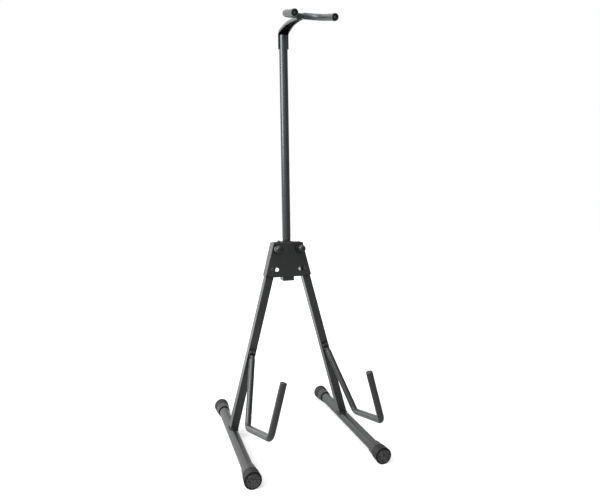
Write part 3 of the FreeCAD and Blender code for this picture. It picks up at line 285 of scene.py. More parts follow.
# black plated nuts and washers
blackNut = {
    "dark": (0.0075, 0.0075, 0.0075),
    "light": (0.0130, 0.0130, 0.0125),
    "clouds": {"scale": 60.0, "detail": 4.0},
    "worn": (0.060, 0.057, 0.053),
    "edgeWidth": 0.0005,
    "scuffs": {"scale": 420.0, "detail": 4.0, "span": (0.48, 0.62), "gives": (0.0, 0.7)},
    "rough": {"scale": 150.0, "detail": 4.0, "span": noiseSpan, "gives": (0.18, 0.27)},
    "specular": 0.34,
    "grain": {"scale": 900.0, "detail": 2.0, "strength": 0.015, "height": 0.00006},
}
# moulded plugs, bushes, caps and the clamp's grip
blackNylon = {
    "dark": (0.0110, 0.0110, 0.0115),
    "light": (0.0190, 0.0190, 0.0190),
    "clouds": {"scale": 40.0, "detail": 4.0},
    "worn": (0.070, 0.070, 0.070),
    "edgeWidth": 0.0005,
    "scuffs": {"scale": 230.0, "detail": 5.0, "span": (0.45, 0.70), "gives": (0.0, 0.7)},
    "rough": {"scale": 120.0, "detail": 4.0, "span": noiseSpan, "gives": (0.28, 0.38)},
    "specular": 0.46,
    "grain": {"scale": 1300.0, "detail": 2.0, "strength": 0.12, "height": 0.00006},
}


def makeHardBlack(name, look):
    finish, tree, shader = newFinish(name)
    where = objectSpace(tree)
    rounded = roundedEdges(tree, look["edgeWidth"])
    worn = times(tree, edgeMask(tree, rounded), patches(tree, where, look["scuffs"]))
    tone = mixColour(tree, worn, cloudyTone(tree, where, look), look["worn"])
    shader.inputs["Specular IOR Level"].default_value = look["specular"]
    feed(tree, shader, tone, patches(tree, where, look["rough"]), relief(tree, where, look["grain"], rounded))
    return finish


# guide pins
oiledSteel = {
    "dark": (0.110, 0.102, 0.084),
    "light": (0.210, 0.196, 0.160),
    "clouds": {"scale": 260.0, "detail": 5.0},
    "edgeWidth": 0.0004,
    "rough": {"scale": 600.0, "detail": 4.0, "span": noiseSpan, "gives": (0.30, 0.46)},
    "grain": {"scale": 1500.0, "detail": 3.0, "strength": 0.08, "height": 0.00005},
}
# bolts, rivets and the clamp's screw and nut
zincSteel = {
    "dark": (0.19, 0.19, 0.185),
    "light": (0.33, 0.33, 0.32),
    "clouds": {"scale": 240.0, "detail": 4.0},
    "dull": (0.11, 0.105, 0.10),
    "stains": {"scale": 90.0, "detail": 5.0, "span": (0.5, 0.72), "gives": (0.0, 0.6)},
    "edgeWidth": 0.0004,
    "rough": {"scale": 500.0, "detail": 4.0, "span": noiseSpan, "gives": (0.30, 0.48)},
    "grain": {"scale": 1800.0, "detail": 3.0, "strength": 0.10, "height": 0.00005},
}


def makeBareSteel(name, look):
    finish, tree, shader = newFinish(name)
    where = objectSpace(tree)
    tone = cloudyTone(tree, where, look)
    if "stains" in look:
        tone = mixColour(tree, patches(tree, where, look["stains"]), tone, look["dull"])
    shader.inputs["Metallic"].default_value = 1.0
    normal = relief(tree, where, look["grain"], roundedEdges(tree, look["edgeWidth"]))
    feed(tree, shader, tone, patches(tree, where, look["rough"]), normal)
    return finish


finishes = {
    "black_powder": makePowderCoat("powderCoat", powderCoat),
    "postCoat": makePowderCoat("postCoat", postCoat),
    "barCoat": makePowderCoat("barCoat", barCoat),
    "black_nut": makeHardBlack("blackNut", blackNut),
    "black_nylon": makeHardBlack("blackNylon", blackNylon),
    "oiled_steel": makeBareSteel("oiledSteel", oiledSteel),
    "zinc_steel": makeBareSteel("zincSteel", zincSteel),
}
nodeFinish = {
    "black_powder": ["front_hinge_plate", "rear_hinge_plate", "post_socket", "left_leg_tube",
                     "right_leg_tube", "left_hook_rod", "right_hook_rod", "left_hook_rivets",
                     "right_hook_rivets"],
    "postCoat": ["post_tube", "neck_bracket", "yoke_rod"],
    "barCoat": ["left_foot_bar", "right_foot_bar"],
    "black_nut": ["left_cap_nut", "right_cap_nut", "pivot_washers"],
    "black_nylon": ["socket_bushing", "socket_end_plug", "post_bottom_plug", "left_pivot_bush",
                    "right_pivot_bush", "left_pivot_spacers", "right_pivot_spacers"],
    "oiled_steel": ["left_guide_pin", "right_guide_pin"],
    "zinc_steel": ["left_pivot_bolt", "right_pivot_bolt", "bracket_rivets", "clamp_nut"],
}
for finishName, nodeNames in nodeFinish.items():
    for nodeName in nodeNames:
        nodeMesh = frame["nodes"][nodeName].data
        nodeMesh.materials.clear()
        nodeMesh.materials.append(finishes[finishName])
print("finishes of the CAD nodes:", ", ".join(finishes))


# steps that the pieces are built from
def addPiece(name, body, slotName, rings, finishName=None, nodes=(), closed=False, startCap=True, endCap=True,
             crease=35.0):
    # rings of points with the same count each are skinned one to the next
    form = bmesh.new()
    rows = [[form.verts.new(point) for point in ring] for ring in rings]
    count = len(rows[0])
    pairs = list(zip(rows, rows[1:]))
    if closed:
        pairs.append((rows[-1], rows[0]))
    for first, second in pairs:
        for i in range(count):
            j = (i + 1) % count
            form.faces.new((first[i], first[j], second[j], second[i]))
    if startCap and not closed:
        form.faces.new(rows[0])
    if endCap and not closed:
        form.faces.new(rows[-1])
    bmesh.ops.recalc_face_normals(form, faces=form.faces)
    mesh = bpy.data.meshes.new(name)
    form.to_mesh(mesh)
    form.free()
    mesh.materials.append(finishes[finishName or slotName])
    mesh.shade_smooth()
    mesh.set_sharp_from_angle(angle=math.radians(crease))
    piece = bpy.data.objects.new(name, mesh)
    scene.collection.objects.link(piece)
    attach(piece, body)
    if nodes:
        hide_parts(*nodes)


def roundAngles(segments):
    return [2 * math.pi * i / segments for i in range(segments)]


def turned(profile, segments, place):
    # rings about +Y of the given (along, radius) points
    return [[place @ Vector((radius * math.cos(angle), along, radius * math.sin(angle)))
             for angle in roundAngles(segments)] for along, radius in profile]


def roundRow(along, radius, size, start, stop, steps):
    # points on an arc, in degrees from straight outward, with +90 toward +Y
    points = []
    for i in range(steps + 1):
        angle = math.radians(start + (stop - start) * i / steps)
        points.append((along + size * math.sin(angle), radius + size * math.cos(angle)))
    return points


def roundedCorner(before, corner, after, radius, steps):
    back = (before - corner).normalized()
    onward = (after - corner).normalized()
    half = back.angle(onward) / 2
    centre = corner + (back + onward).normalized() * (radius / math.sin(half))
    start = corner + back * (radius / math.tan(half)) - centre
    end = corner + onward * (radius / math.tan(half)) - centre
    sweep = start.angle(end)
    axis = start.cross(end).normalized()
    return [centre + Matrix.Rotation(sweep * i / steps, 3, axis) @ start for i in range(steps + 1)]


def straightRun(start, end, step):
    count = max(1, round((end - start).length / step))
    return [start.lerp(end, i / count) for i in range(count + 1)]


def walked(points, least=1e-6):
    # drops doubled points and gives each one its distance along the path and its heading
    path = [points[0]]
    for point in points[1:]:
        if (point - path[-1]).length > least:
            path.append(point)
    total = 0.0
    steps = []
    for i, point in enumerate(path):
        if i:
            total += (point - path[i - 1]).length
        ahead = path[min(i + 1, len(path) - 1)] - path[max(i - 1, 0)]
        steps.append((total, point, ahead.normalized()))
    return steps


def sleeveRing(point, across, inner, segments, radiusAt):
    ring = []
    for angle in roundAngles(segments):
        radius = radiusAt(angle)
        ring.append(point + inner * (math.cos(angle) * radius) + across * (math.sin(angle) * radius))
    return ring


# soft vinyl of the sleeves
sleeveVinyl = {
    "dark": (0.0090, 0.0090, 0.0094),
    "light": (0.0160, 0.0160, 0.0160),
    "clouds": {"scale": 22.0, "detail": 4.0},
    "scuffed": (0.050, 0.050, 0.050),
    "scuffs": {"scale": 160.0, "detail": 6.0, "roughness": 0.65, "span": (0.56, 0.80), "gives": (0.0, 0.30)},
    "rough": {"scale": 60.0, "detail": 4.0, "span": noiseSpan, "gives": (0.24, 0.29)},
    "specular": 0.44,
    "tint": (1.0, 1.0, 1.0),
    "grain": {"scale": 700.0, "detail": 3.0, "strength": 0.03, "height": 0.00008},
    "swell": {"scale": 95.0, "detail": 2.0, "strength": 0.03, "height": 0.0003},
}
# the yoke's sleeves are softer in their shine and slightly blue
yokeVinyl = {
    **sleeveVinyl,
    "rough": {**sleeveVinyl["rough"], "gives": (0.34, 0.38)},
    "specular": 0.56,
    "tint": (0.84, 0.97, 1.0),
}


def makeSleeveVinyl(name, look):
    finish, tree, shader = newFinish(name)
    where = objectSpace(tree)
    scuffs = patches(tree, where, look["scuffs"])
    tone = mixColour(tree, scuffs, cloudyTone(tree, where, look), look["scuffed"])
    shader.inputs["Specular IOR Level"].default_value = look["specular"]
    shader.inputs["Specular Tint"].default_value = look["tint"] + (1.0,)
    normal = relief(tree, where, look["swell"], relief(tree, where, look["grain"]))
    feed(tree, shader, tone, patches(tree, where, look["rough"]), normal)
    return finish


finishes["sleeve_vinyl"] = makeSleeveVinyl("sleeveVinyl", sleeveVinyl)
finishes["yokeVinyl"] = makeSleeveVinyl("yokeVinyl", yokeVinyl)

# soft tube over each hook, wrinkled inside its two bends
hookSleeve = {
    "tip": (-0.268, -0.240),  # y and z from the leg's pivot, along the leg
    "frontBend": (-0.268, -0.3497),
    "rearBend": (-0.1124, -0.3961),
    "start": (-0.02249, -0.26662),
    "bendRadius": 0.015,
    "radius": 0.007,
    "step": 0.003,
    "bendSteps": 26,
    "segments": 40,
    "tipFace": ((0.0006, 0.0007), (0.00353, 0.0007), (0.0046, 0.00063), (0.0051, 0.00012)),  # radius, sink
    "edgeRound": 0.0013,
    "edgeSteps": 5,
    "plainFrom": 0.00195,  # distance from the tip to the first ring of the tube
    "plainEnd": 0.0005,  # and from the last one to the other end
    "topEnd": (  # radius, shift along the sleeve
        (0.0069, -0.0003), (0.0066, 0.0), (0.0053, 0.0), (0.0051, -0.0004), (0.0051, -0.004),
    ),
    "wrinkles": ((-0.0052, 0.00035), (0.0, 0.0008), (0.0052, 0.0004)),  # place from a bend's middle, depth
    "wrinkleWidth": 0.0011,
    "flatten": 0.00035,  # outside of the bends
    "flattenReach": 0.00825,
    "waver": 0.00010,
    "waverTurns": (93, 41),
}


def hookPath():
    shape = hookSleeve
    tip, front, rear, start = [Vector((0, *shape[key])) for key in ("tip", "frontBend", "rearBend", "start")]
    frontArc = roundedCorner(tip, front, rear, shape["bendRadius"], shape["bendSteps"])
    rearArc = roundedCorner(front, rear, start, shape["bendRadius"], shape["bendSteps"])
    points = straightRun(tip, frontArc[0], shape["step"]) + frontArc
    points += straightRun(frontArc[-1], rearArc[0], shape["step"]) + rearArc
    points += straightRun(rearArc[-1], start, shape["step"])
    steps = walked(points)
    middles = []
    for arc in (frontArc, rearArc):
        centre = arc[len(arc) // 2]
        middles.append(min(steps, key=lambda step: (step[1] - centre).length)[0])
    return steps, middles


def hookRadius(walk, angle, middles, side):
    shape = hookSleeve
    fast, slow = shape["waverTurns"]
    size = shape["radius"]
    size += shape["waver"] * (math.sin(walk * fast + side) + math.sin(walk * slow + 2 * side)) / 2
    inside = max(0.0, math.cos(angle)) ** 2
    outside = max(0.0, -math.cos(angle)) ** 2
    for middle in middles:
        for offset, depth in shape["wrinkles"]:
            away = (walk - middle - offset) / shape["wrinkleWidth"]
            size -= depth * math.exp(-away * away) * inside
        near = (walk - middle) / shape["flattenReach"]
        size -= shape["flatten"] * math.exp(-near * near) * outside
    return size


def buildHookSleeves():
    shape = hookSleeve
    steps, middles = hookPath()
    length = steps[-1][0]
    across = Vector((1, 0, 0))
    for word, side in sides:
        place = legMatrix(side)
        rings = []

        def addRing(point, heading, radiusAt, shift=0.0):
            inner = across.cross(heading)
            ring = sleeveRing(point + heading * shift, across, inner, shape["segments"], radiusAt)
            rings.append([place @ corner for corner in ring])

        _, tip, heading = steps[0]
        for radius, sink in shape["tipFace"]:
            addRing(tip, heading, lambda angle: radius, sink)
        edge = shape["edgeRound"]
        for k in range(shape["edgeSteps"] + 1):
            turn = math.pi / 2 * k / shape["edgeSteps"]
            radius = shape["radius"] - edge + edge * math.sin(turn)
            addRing(tip, heading, lambda angle: radius, edge * (1 - math.cos(turn)))
        for walk, point, heading in steps:
            if shape["plainFrom"] < walk < length - shape["plainEnd"]:
                addRing(point, heading, lambda angle: hookRadius(walk, angle, middles, side))
        _, top, heading = steps[-1]
        for radius, shift in shape["topEnd"]:
            addRing(top, heading, lambda angle: radius, shift)
        addPiece(word + "HookSleeve", word + "_leg", "sleeve_vinyl", rings, nodes=[word + "_hook_sleeve"],
                 endCap=False, crease=50.0)
    print("hook sleeves:", round(length, 3), "m each")


buildHookSleeves()

# moulded rubber caps: open mouth, smooth cone, then a grooved band and a dished end face
footCap = {
    "segments": 72,
    "length": 0.0455,
    "boreEnd": 0.029,
    "boreRadius": 0.01256,
    "mouthDepth": 0.006,
    "mouthRadius": 0.01425,
    "lipRadius": 0.0150,
    "lipSteps": 8,
    "coneRadius": 0.0163,
    "bandStart": 0.024,
    "bandRadius": 0.0173,
    "bandEdge": 0.0005,
    "bandSteps": 4,
    "endRadius": 0.0185,
    "endRound": 0.0022,
    "endSteps": 6,
    "grooves": 6,
    "groovePitch": 0.0030,
    "grooveHalf": 0.0006,
    "grooveDepth": 0.00035,
    "faceRim": 0.0150,
    "faceRimHalf": 0.0003,
    "faceSink": 0.0011,
    "faceRings": (0.0128, 0.0104, 0.0080, 0.0056, 0.0032),
    "ringHalf": 0.0007,
    "ringRise": 0.0005,
    "ringShape": ((1.0, 0.0), (0.5, 1.0), (-0.5, 1.0), (-1.0, 0.0)),  # shares of these two
    "faceMiddle": 0.0004,
}
# their rubber, pale at the cone and dark at the band, with a mottled face inside a black rim of painted shade
footRubber = {
    "dark": (0.022, 0.022, 0.0215),
    "light": (0.040, 0.040, 0.039),
    "clouds": {"scale": 30.0, "detail": 5.0},
    "dusty": (0.100, 0.098, 0.092),
    "dust": {"scale": 110.0, "detail": 6.0, "roughness": 0.6, "span": (0.45, 0.75), "gives": (0.05, 0.75)},
    "edgeWidth": 0.0012,
    "rough": {"scale": 80.0, "detail": 4.0, "span": noiseSpan, "gives": (0.30, 0.42)},
    "specular": 0.40,
    "band": (0.012, 0.012, 0.0118),
    "bandRough": 0.55,
    "bandSpecular": 0.25,
    "face": (0.092, 0.090, 0.085),
    "faceDark": (0.018, 0.018, 0.0175),
    "patchy": {"scale": 55.0, "detail": 4.0, "span": noiseSpan, "gives": (0.7, 1.0)},
    "marks": {"scale": 330.0, "detail": 1.0, "span": (0.42, 0.58), "gives": (0.0, 1.0)},
    # painted shade: the rim round the end face, black with little shine
    "rim": (0.007, 0.007, 0.007),
    "rimDepth": 0.00205,  # from the end of a cap to where its painted shade rim begins
    "rimSpecular": 0.08,
    "fade": 0.0003,  # half width of the borders between the tones
    "grit": {"scale": 1100.0, "detail": 3.0, "strength": 0.12, "height": 0.0001},
    "swell": {"scale": 140.0, "detail": 2.0, "strength": 0.06, "height": 0.0004},
}


def capZones(tree, where):
    # all four caps folded onto one: 1 from the band on, 1 at the end, and 1 outside of the face
    middle = (stand["frontEnd"] + stand["rearEnd"]) / 2
    half = (stand["rearEnd"] - stand["frontEnd"]) / 2
    folded = vectorStep(tree, "ABSOLUTE", vectorStep(tree, "SUBTRACT", where, (0, middle, 0)))
    split = tree.nodes.new("ShaderNodeSeparateXYZ")
    tree.links.new(folded, split.inputs["Vector"])
    offAxis = vectorStep(tree, "SUBTRACT", folded, (stand["footX"], 0, stand["footZ"]))
    radius = vectorStep(tree, "LENGTH", vectorStep(tree, "MULTIPLY", offAxis, (1, 0, 1)))

    def past(source, border):
        return spread(tree, source, border - footRubber["fade"], border + footRubber["fade"])

    band = past(split.outputs["Y"], half - footCap["bandStart"])
    end = past(split.outputs["Y"], half - footRubber["rimDepth"])
    return band, end, past(radius, footCap["faceRim"])


def makeFootRubber(name, look):
    finish, tree, shader = newFinish(name)
    where = objectSpace(tree)
    band, end, outer = capZones(tree, where)
    # painted shade: the rim round the end face is painted black
    rim = times(tree, end, outer)
    patchy = patches(tree, where, look["patchy"])
    tone = mixColour(tree, times(tree, band, patchy), cloudyTone(tree, where, look), look["band"])
    tone = mixColour(tree, times(tree, end, patchy), tone, look["face"])
    tone = mixColour(tree, times(tree, end, patches(tree, where, look["marks"])), tone, look["faceDark"])
    tone = mixColour(tree, rim, tone, look["rim"])
    # dust on the edges, but not on the painted shade rim
    edges = edgeMask(tree, roundedEdges(tree, look["edgeWidth"]))
    dusty = times(tree, edges, patches(tree, where, look["dust"]))
    dusty = times(tree, dusty, spread(tree, rim, 0.0, 1.0, 1.0, 0.0))
    tone = mixColour(tree, dusty, tone, look["dusty"])
    rough = blend(tree, band, patches(tree, where, look["rough"]), look["bandRough"])
    gloss = blend(tree, band, look["specular"], look["bandSpecular"])
    tree.links.new(blend(tree, rim, gloss, look["rimSpecular"]), shader.inputs["Specular IOR Level"])
    normal = relief(tree, where, look["swell"], relief(tree, where, look["grit"]))
    feed(tree, shader, tone, rough, normal)
    return finish


finishes["foot_rubber"] = makeFootRubber("footRubber", footRubber)


def capProfile():
    # along from the end face and radius, from the bore round the mouth and back to the middle of the face
    cap = footCap
    mouth = cap["length"] - cap["mouthDepth"]
    points = [(cap["boreEnd"], cap["boreRadius"]), (mouth, cap["boreRadius"]), (mouth, cap["mouthRadius"])]
    lip = (cap["lipRadius"] - cap["mouthRadius"]) / 2
    points += roundRow(cap["length"] - lip, cap["mouthRadius"] + lip, lip, 180, 0, cap["lipSteps"])
    edge = cap["bandEdge"]
    points.append((cap["bandStart"] + edge, cap["coneRadius"]))
    points += roundRow(cap["bandStart"] - edge, cap["bandRadius"] - edge, edge, 90, 0, cap["bandSteps"])
    slope = (cap["endRadius"] - cap["bandRadius"]) / (cap["bandStart"] - cap["endRound"])
    for i in range(cap["grooves"]):
        at = cap["bandStart"] - (i + 1) * cap["groovePitch"]
        girth = cap["bandRadius"] + slope * (cap["bandStart"] - at)
        points.append((at + cap["grooveHalf"], girth))
        points.append((at, girth - cap["grooveDepth"]))
        points.append((at - cap["grooveHalf"], girth))
    size = cap["endRound"]
    points += roundRow(size, cap["endRadius"] - size, size, 0, -90, cap["endSteps"])
    points.append((0.0, cap["faceRim"] + cap["faceRimHalf"]))
    points.append((cap["faceSink"], cap["faceRim"] - cap["faceRimHalf"]))
    for ring in cap["faceRings"]:
        for out, rise in cap["ringShape"]:
            points.append((cap["faceSink"] - rise * cap["ringRise"], ring + out * cap["ringHalf"]))
    points.append((cap["faceSink"], cap["faceMiddle"]))
    return points


def buildFootCaps():
    for word, side in sides:
        for end, along, turn in (("front", stand["frontEnd"], 0.0), ("rear", stand["rearEnd"], math.pi)):
            place = Matrix.Translation((side * stand["footX"], along, stand["footZ"]))
            place = place @ Matrix.Rotation(turn, 4, "Z")
            rings = turned(capProfile(), footCap["segments"], place)
            addPiece(word + end.capitalize() + "FootCap", word + "_leg", "foot_rubber", rings,
                     nodes=["%s_%s_foot_cap" % (word, end)], startCap=False, crease=40.0)
    print("foot caps: 4")


buildFootCaps()

# sleeves on the arms of the yoke, and the caps on its ends
yoke = {
    "rodRadius": 0.005,
    "droop": math.radians(18.8),
    "curve": 0.0414,
    "bareAngle": math.radians(9.5),
    "sleeveEnd": -0.0903,
    "sleeveRadius": 0.0065,
    "step": 0.0025,
    "bendSteps": 40,
    "segments": 36,
    "waver": 0.00003,
    "waverTurns": (130, 57),
    "backEnd": (  # radius, shift along the sleeve
        (0.0051, 0.004), (0.0051, 0.0004), (0.0053, 0.0), (0.0060, 0.0), (0.0064, 0.0003),
    ),
    "frontEnd": ((0.0064, -0.0004), (0.0060, -0.00005), (0.0051, -0.00005)),
    "capEnd": -0.1003,
    "capSegments": 48,
    "capButton": 0.0045,  # round button in the middle of a cap's end
    "capButtonTurn": (-87.0, -25.0),  # degrees, from its top to its foot
    "capButtonSteps": 9,
    "capGroove": (0.0031, 0.0002),  # depth of the groove around it, and its distance from the foot
    "capRing": 0.0062,  # middle of the rim
    "capRound": 0.0010,
    "capRingSteps": 10,
    "capBack": (  # along from the end face back, radius
        (0.0026, 0.00730), (0.0080, 0.00730), (0.0083, 0.00708), (0.0088, 0.00708), (0.0091, 0.00730),
        (0.0097, 0.00728), (0.0100, 0.00715), (0.0100, 0.00540), (0.0098, 0.00520), (0.0060, 0.00510),
    ),
}


def yokeMatrix():
    # the middle of the U's back is the rod's highest and rearmost place
    _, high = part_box("yoke_rod")
    back = Vector((0, high.y - yoke["rodRadius"], high.z - yoke["rodRadius"]))
    return Matrix.Translation(back) @ Matrix.Rotation(yoke["droop"], 4, "X")


def yokeCapProfile():
    # from the middle of the button through the groove, over the rim and back along the side
    top, foot = yoke["capButtonTurn"]
    ball = yoke["capButton"] / math.cos(math.radians(foot))
    points = roundRow(ball, 0.0, ball, top, foot, yoke["capButtonSteps"])
    depth, gap = yoke["capGroove"]
    edge = yoke["capRound"]
    points += [(depth, yoke["capButton"] + gap), (depth, yoke["capRing"] - edge)]
    points += roundRow(edge, yoke["capRing"], edge, -180, 0, yoke["capRingSteps"])
    return points + list(yoke["capBack"])


def yokePath(side):
    curve = yoke["curve"]
    bare = yoke["bareAngle"]
    points = []
    for i in range(yoke["bendSteps"] + 1):
        angle = bare + (math.pi / 2 - bare) * i / yoke["bendSteps"]
        points.append(Vector((side * math.sin(angle), math.cos(angle) - 1, 0)) * curve)
    points += straightRun(points[-1], Vector((side * curve, yoke["sleeveEnd"], 0)), yoke["step"])
    return walked(points)


def buildYokeCovers():
    place = yokeMatrix()
    up = Vector((0, 0, 1))
    fast, slow = yoke["waverTurns"]
    for word, side in sides:
        steps = yokePath(side)
        rings = []

        def addRing(point, heading, radius, shift=0.0):
            inner = up.cross(heading)
            ring = sleeveRing(point + heading * shift, up, inner, yoke["segments"], lambda angle: radius)
            rings.append([place @ corner for corner in ring])

        _, back, heading = steps[0]
        for radius, shift in yoke["backEnd"]:
            addRing(back, heading, radius, shift)
        for walk, point, heading in steps[1:-1]:
            waver = yoke["waver"] * (math.sin(walk * fast + side) + math.sin(walk * slow))
            addRing(point, heading, yoke["sleeveRadius"] + waver)
        _, front, heading = steps[-1]
        for radius, shift in yoke["frontEnd"]:
            addRing(front, heading, radius, shift)
        addPiece(word + "YokeSleeve", "post", "sleeve_vinyl", rings, "yokeVinyl",
                 nodes=[word + "_yoke_sleeve"], startCap=False, endCap=False, crease=50.0)
        capPlace = place @ Matrix.Translation((side * yoke["curve"], yoke["capEnd"], 0))
        rings = turned(yokeCapProfile(), yoke["capSegments"], capPlace)
        addPiece(word + "YokeCap", "post", "black_nylon", rings, nodes=[word + "_yoke_cap"],
                 endCap=False, crease=40.0)
    print("yoke sleeves and caps: 2 and 2")


buildYokeCovers()

# clamp screw with its thread, and the moulded wing grip
clamp = {
    "screwRadius": 0.004,
    "threadDepth": 0.00065,
    "threadPitch": 0.00125,
    "threadFlank": (1.5, 0.25),  # how steep the flanks are, and how flat the crests
    "ringsPerPitch": 8,
    "segments": 32,
    "tipTaper": 0.0009,
    "hubRadius": 0.0085,
    "hubFillet": 0.0016,
    "wingSpan": 0.019,
    "wingHalf": 0.00425,
    "wingTurn": math.radians(122.0),
    "boreRadius": 0.0042,
    "boreDepth": 0.006,
    "gripSegments": 144,
    "gripRows": (  # along the grip, how far the outline draws in
        (0.0000, 0.0009), (0.0003, 0.0004), (0.0009, 0.0), (0.0030, 0.00005), (0.0070, 0.00035),
        (0.0105, 0.00015), (0.0122, 0.0001), (0.0130, 0.0004), (0.0136, 0.0009), (0.0140, 0.0017),
    ),
    "faceRows": ((0.86, 0.0), (0.70, 0.00048), (0.45, 0.0008), (0.05, 0.0008)),  # share of the outline, sink
}


def threadRadius(along, share):
    steep, flat = clamp["threadFlank"]
    phase = (along / clamp["threadPitch"] + share) % 1.0
    flank = min(1.0, max(0.0, abs(2 * phase - 1) * steep - flat))
    return clamp["screwRadius"] - clamp["threadDepth"] * flank


def gripOutline(angle, drawIn):
    # outline of a round hub with two wings, as a radius about the screw
    hub = clamp["hubRadius"] - drawIn
    half = clamp["wingHalf"] - drawIn
    reach = clamp["wingSpan"] - clamp["wingHalf"]
    along = abs(math.cos(angle))
    off = abs(math.sin(angle))
    side = half / max(off, 1e-6)
    if side * along > reach:
        side = reach * along + math.sqrt(max(0.0, half * half - (reach * off) ** 2))
    fillet = clamp["hubFillet"]
    return max(hub, side) + max(fillet - abs(hub - side), 0.0) ** 2 / (4 * fillet)


def buildClamp():
    head = Matrix.Translation((0, 0, stand["pivotZ"]))
    screwLow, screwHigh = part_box("clamp_screw")
    length = screwHigh.y - screwLow.y
    rowCount = round(length / clamp["threadPitch"] * clamp["ringsPerPitch"])
    rings = []
    for row in range(rowCount + 1):
        along = screwLow.y + length * row / rowCount
        taper = max(0.0, clamp["tipTaper"] - (along - screwLow.y))
        ring = []
        for angle in roundAngles(clamp["segments"]):
            radius = threadRadius(along, angle / (2 * math.pi)) - taper
            ring.append(head @ Vector((radius * math.cos(angle), along, radius * math.sin(angle))))
        rings.append(ring)
    addPiece("clampScrew", "clamp", "zinc_steel", rings, nodes=["clamp_screw"], crease=60.0)

    gripLow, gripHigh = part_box("clamp_grip")
    place = head @ Matrix.Rotation(-clamp["wingTurn"], 4, "Y")
    rings = []

    def addRow(along, radiusAt):
        ring = []
        for angle in roundAngles(clamp["gripSegments"]):
            radius = radiusAt(angle)
            ring.append(place @ Vector((radius * math.cos(angle), along, radius * math.sin(angle))))
        rings.append(ring)

    for depth in (clamp["boreDepth"], 0.0):
        addRow(gripLow.y + depth, lambda angle: clamp["boreRadius"])
    for along, drawIn in clamp["gripRows"]:
        addRow(gripLow.y + along, lambda angle: gripOutline(angle, drawIn))
    lastDrawIn = clamp["gripRows"][-1][1]
    for share, sink in clamp["faceRows"]:
        addRow(gripHigh.y - sink, lambda angle: gripOutline(angle, lastDrawIn) * share)
    addPiece("clampGrip", "clamp", "black_nylon", rings, nodes=["clamp_grip"], startCap=False)
    print("clamp screw and grip made")


buildClamp()

# weld beads, where a leg stands on its foot bar and where the yoke lies on its bracket
weld = {
    "radius": 0.0017,
    "ripple": 0.00028,
    "ripplePitch": 0.0021,
    "segments": 10,
    "step": 0.0005,
    "tipShare": 0.2,  # radius at the two ends of an open bead
    "saddleGap": 0.0003,
    "cornerRound": 0.0022,
    "cornerSteps": 6,
    "yokeHalf": 0.0060,
    "yokeSpread": 0.0037,
    "yokeDrop": 0.0040,
}


def beadRings(points, closed, place):
    steps = walked(points)
    rings = []
    count = len(steps)
    for i, (walk, point, heading) in enumerate(steps):
        beat = abs(math.sin(math.pi * walk / weld["ripplePitch"]))
        radius = weld["radius"] - weld["ripple"] * (1 - beat)
        if closed:
            heading = (steps[(i + 1) % count][1] - steps[i - 1][1]).normalized()
        else:
            near = min(1.0, min(walk, steps[-1][0] - walk) / weld["radius"])
            radius *= max(weld["tipShare"], math.sqrt(near * (2 - near)))
        side = heading.cross(Vector((0, 0, 1))).normalized()
        over = side.cross(heading).normalized()
        rings.append([place @ (point + side * (radius * math.cos(angle)) + over * (radius * math.sin(angle)))
                      for angle in roundAngles(weld["segments"])])
    return rings


def saddlePath():
    # round the leg's outline, dropped onto the bar
    halfX = stand["legHalfWidth"] + weld["saddleGap"]
    halfY = stand["legHalfDepth"] + weld["saddleGap"]
    corners = [Vector((x * halfX, y * halfY, 0)) for x, y in ((-1, -1), (1, -1), (1, 1), (-1, 1))]
    arcs = [roundedCorner(corners[i - 1], corners[i], corners[(i + 1) % 4], weld["cornerRound"],
                          weld["cornerSteps"]) for i in range(4)]
    outline = []
    for i in range(4):
        outline += arcs[i] + straightRun(arcs[i][-1], arcs[(i + 1) % 4][0], weld["step"])[1:-1]
    path = []
    for point in outline:
        lift = math.sqrt(stand["barRadius"] ** 2 - point.x ** 2)
        path.append(Vector((point.x, point.y, lift - stand["legLength"])))
    return path


def buildWelds():
    for word, side in sides:
        rings = beadRings(saddlePath(), True, legMatrix(side))
        addPiece(word + "LegWeld", word + "_leg", "black_powder", rings, closed=True, crease=60.0)
    count = round(2 * weld["yokeHalf"] / weld["step"])
    for word, way in (("front", -1), ("rear", 1)):
        points = []
        for i in range(count + 1):
            x = -weld["yokeHalf"] + 2 * weld["yokeHalf"] * i / count
            bow = math.sqrt(yoke["curve"] ** 2 - x * x) - yoke["curve"]
            points.append(Vector((x, bow + way * weld["yokeSpread"], -weld["yokeDrop"])))
        rings = beadRings(points, False, yokeMatrix())
        addPiece(word + "YokeWeld", "post", "black_powder", rings, crease=60.0)
    print("weld beads: 4")


buildWelds()

# pale floor, white further out, in a room that is bright on the left and dim on the right
stage = {
    "floorSize": 14.0,
    "floorGrey": 0.66,
    "greySpread": 0.01,
    "paper": {"scale": 60.0, "detail": 4.0},
    "nearGlow": 0.50,  # keeps the shadow by the feet
    "farGlow": 1.0,
    "glowFrom": 0.2,
    "glowTo": 0.9,
    "sweepSide": (-0.5, 0.87, 0.0),  # where the coats mirror a white floor
    "sweepFrom": 0.3,
    "sweepTo": 1.2,
    "brightSide": (-0.9, 0.0, 0.44),
    "darkFrom": -0.25,
    "brightFrom": 0.2,
    "darkRoom": 0.36,
    "ambient": 0.65,
    "sheen": 1.4,  # the bright side as the coats mirror it
}


def seenPlainly(tree, path):
    return atLeast(tree, path.outputs["Is Camera Ray"], path.outputs["Is Transmission Ray"])


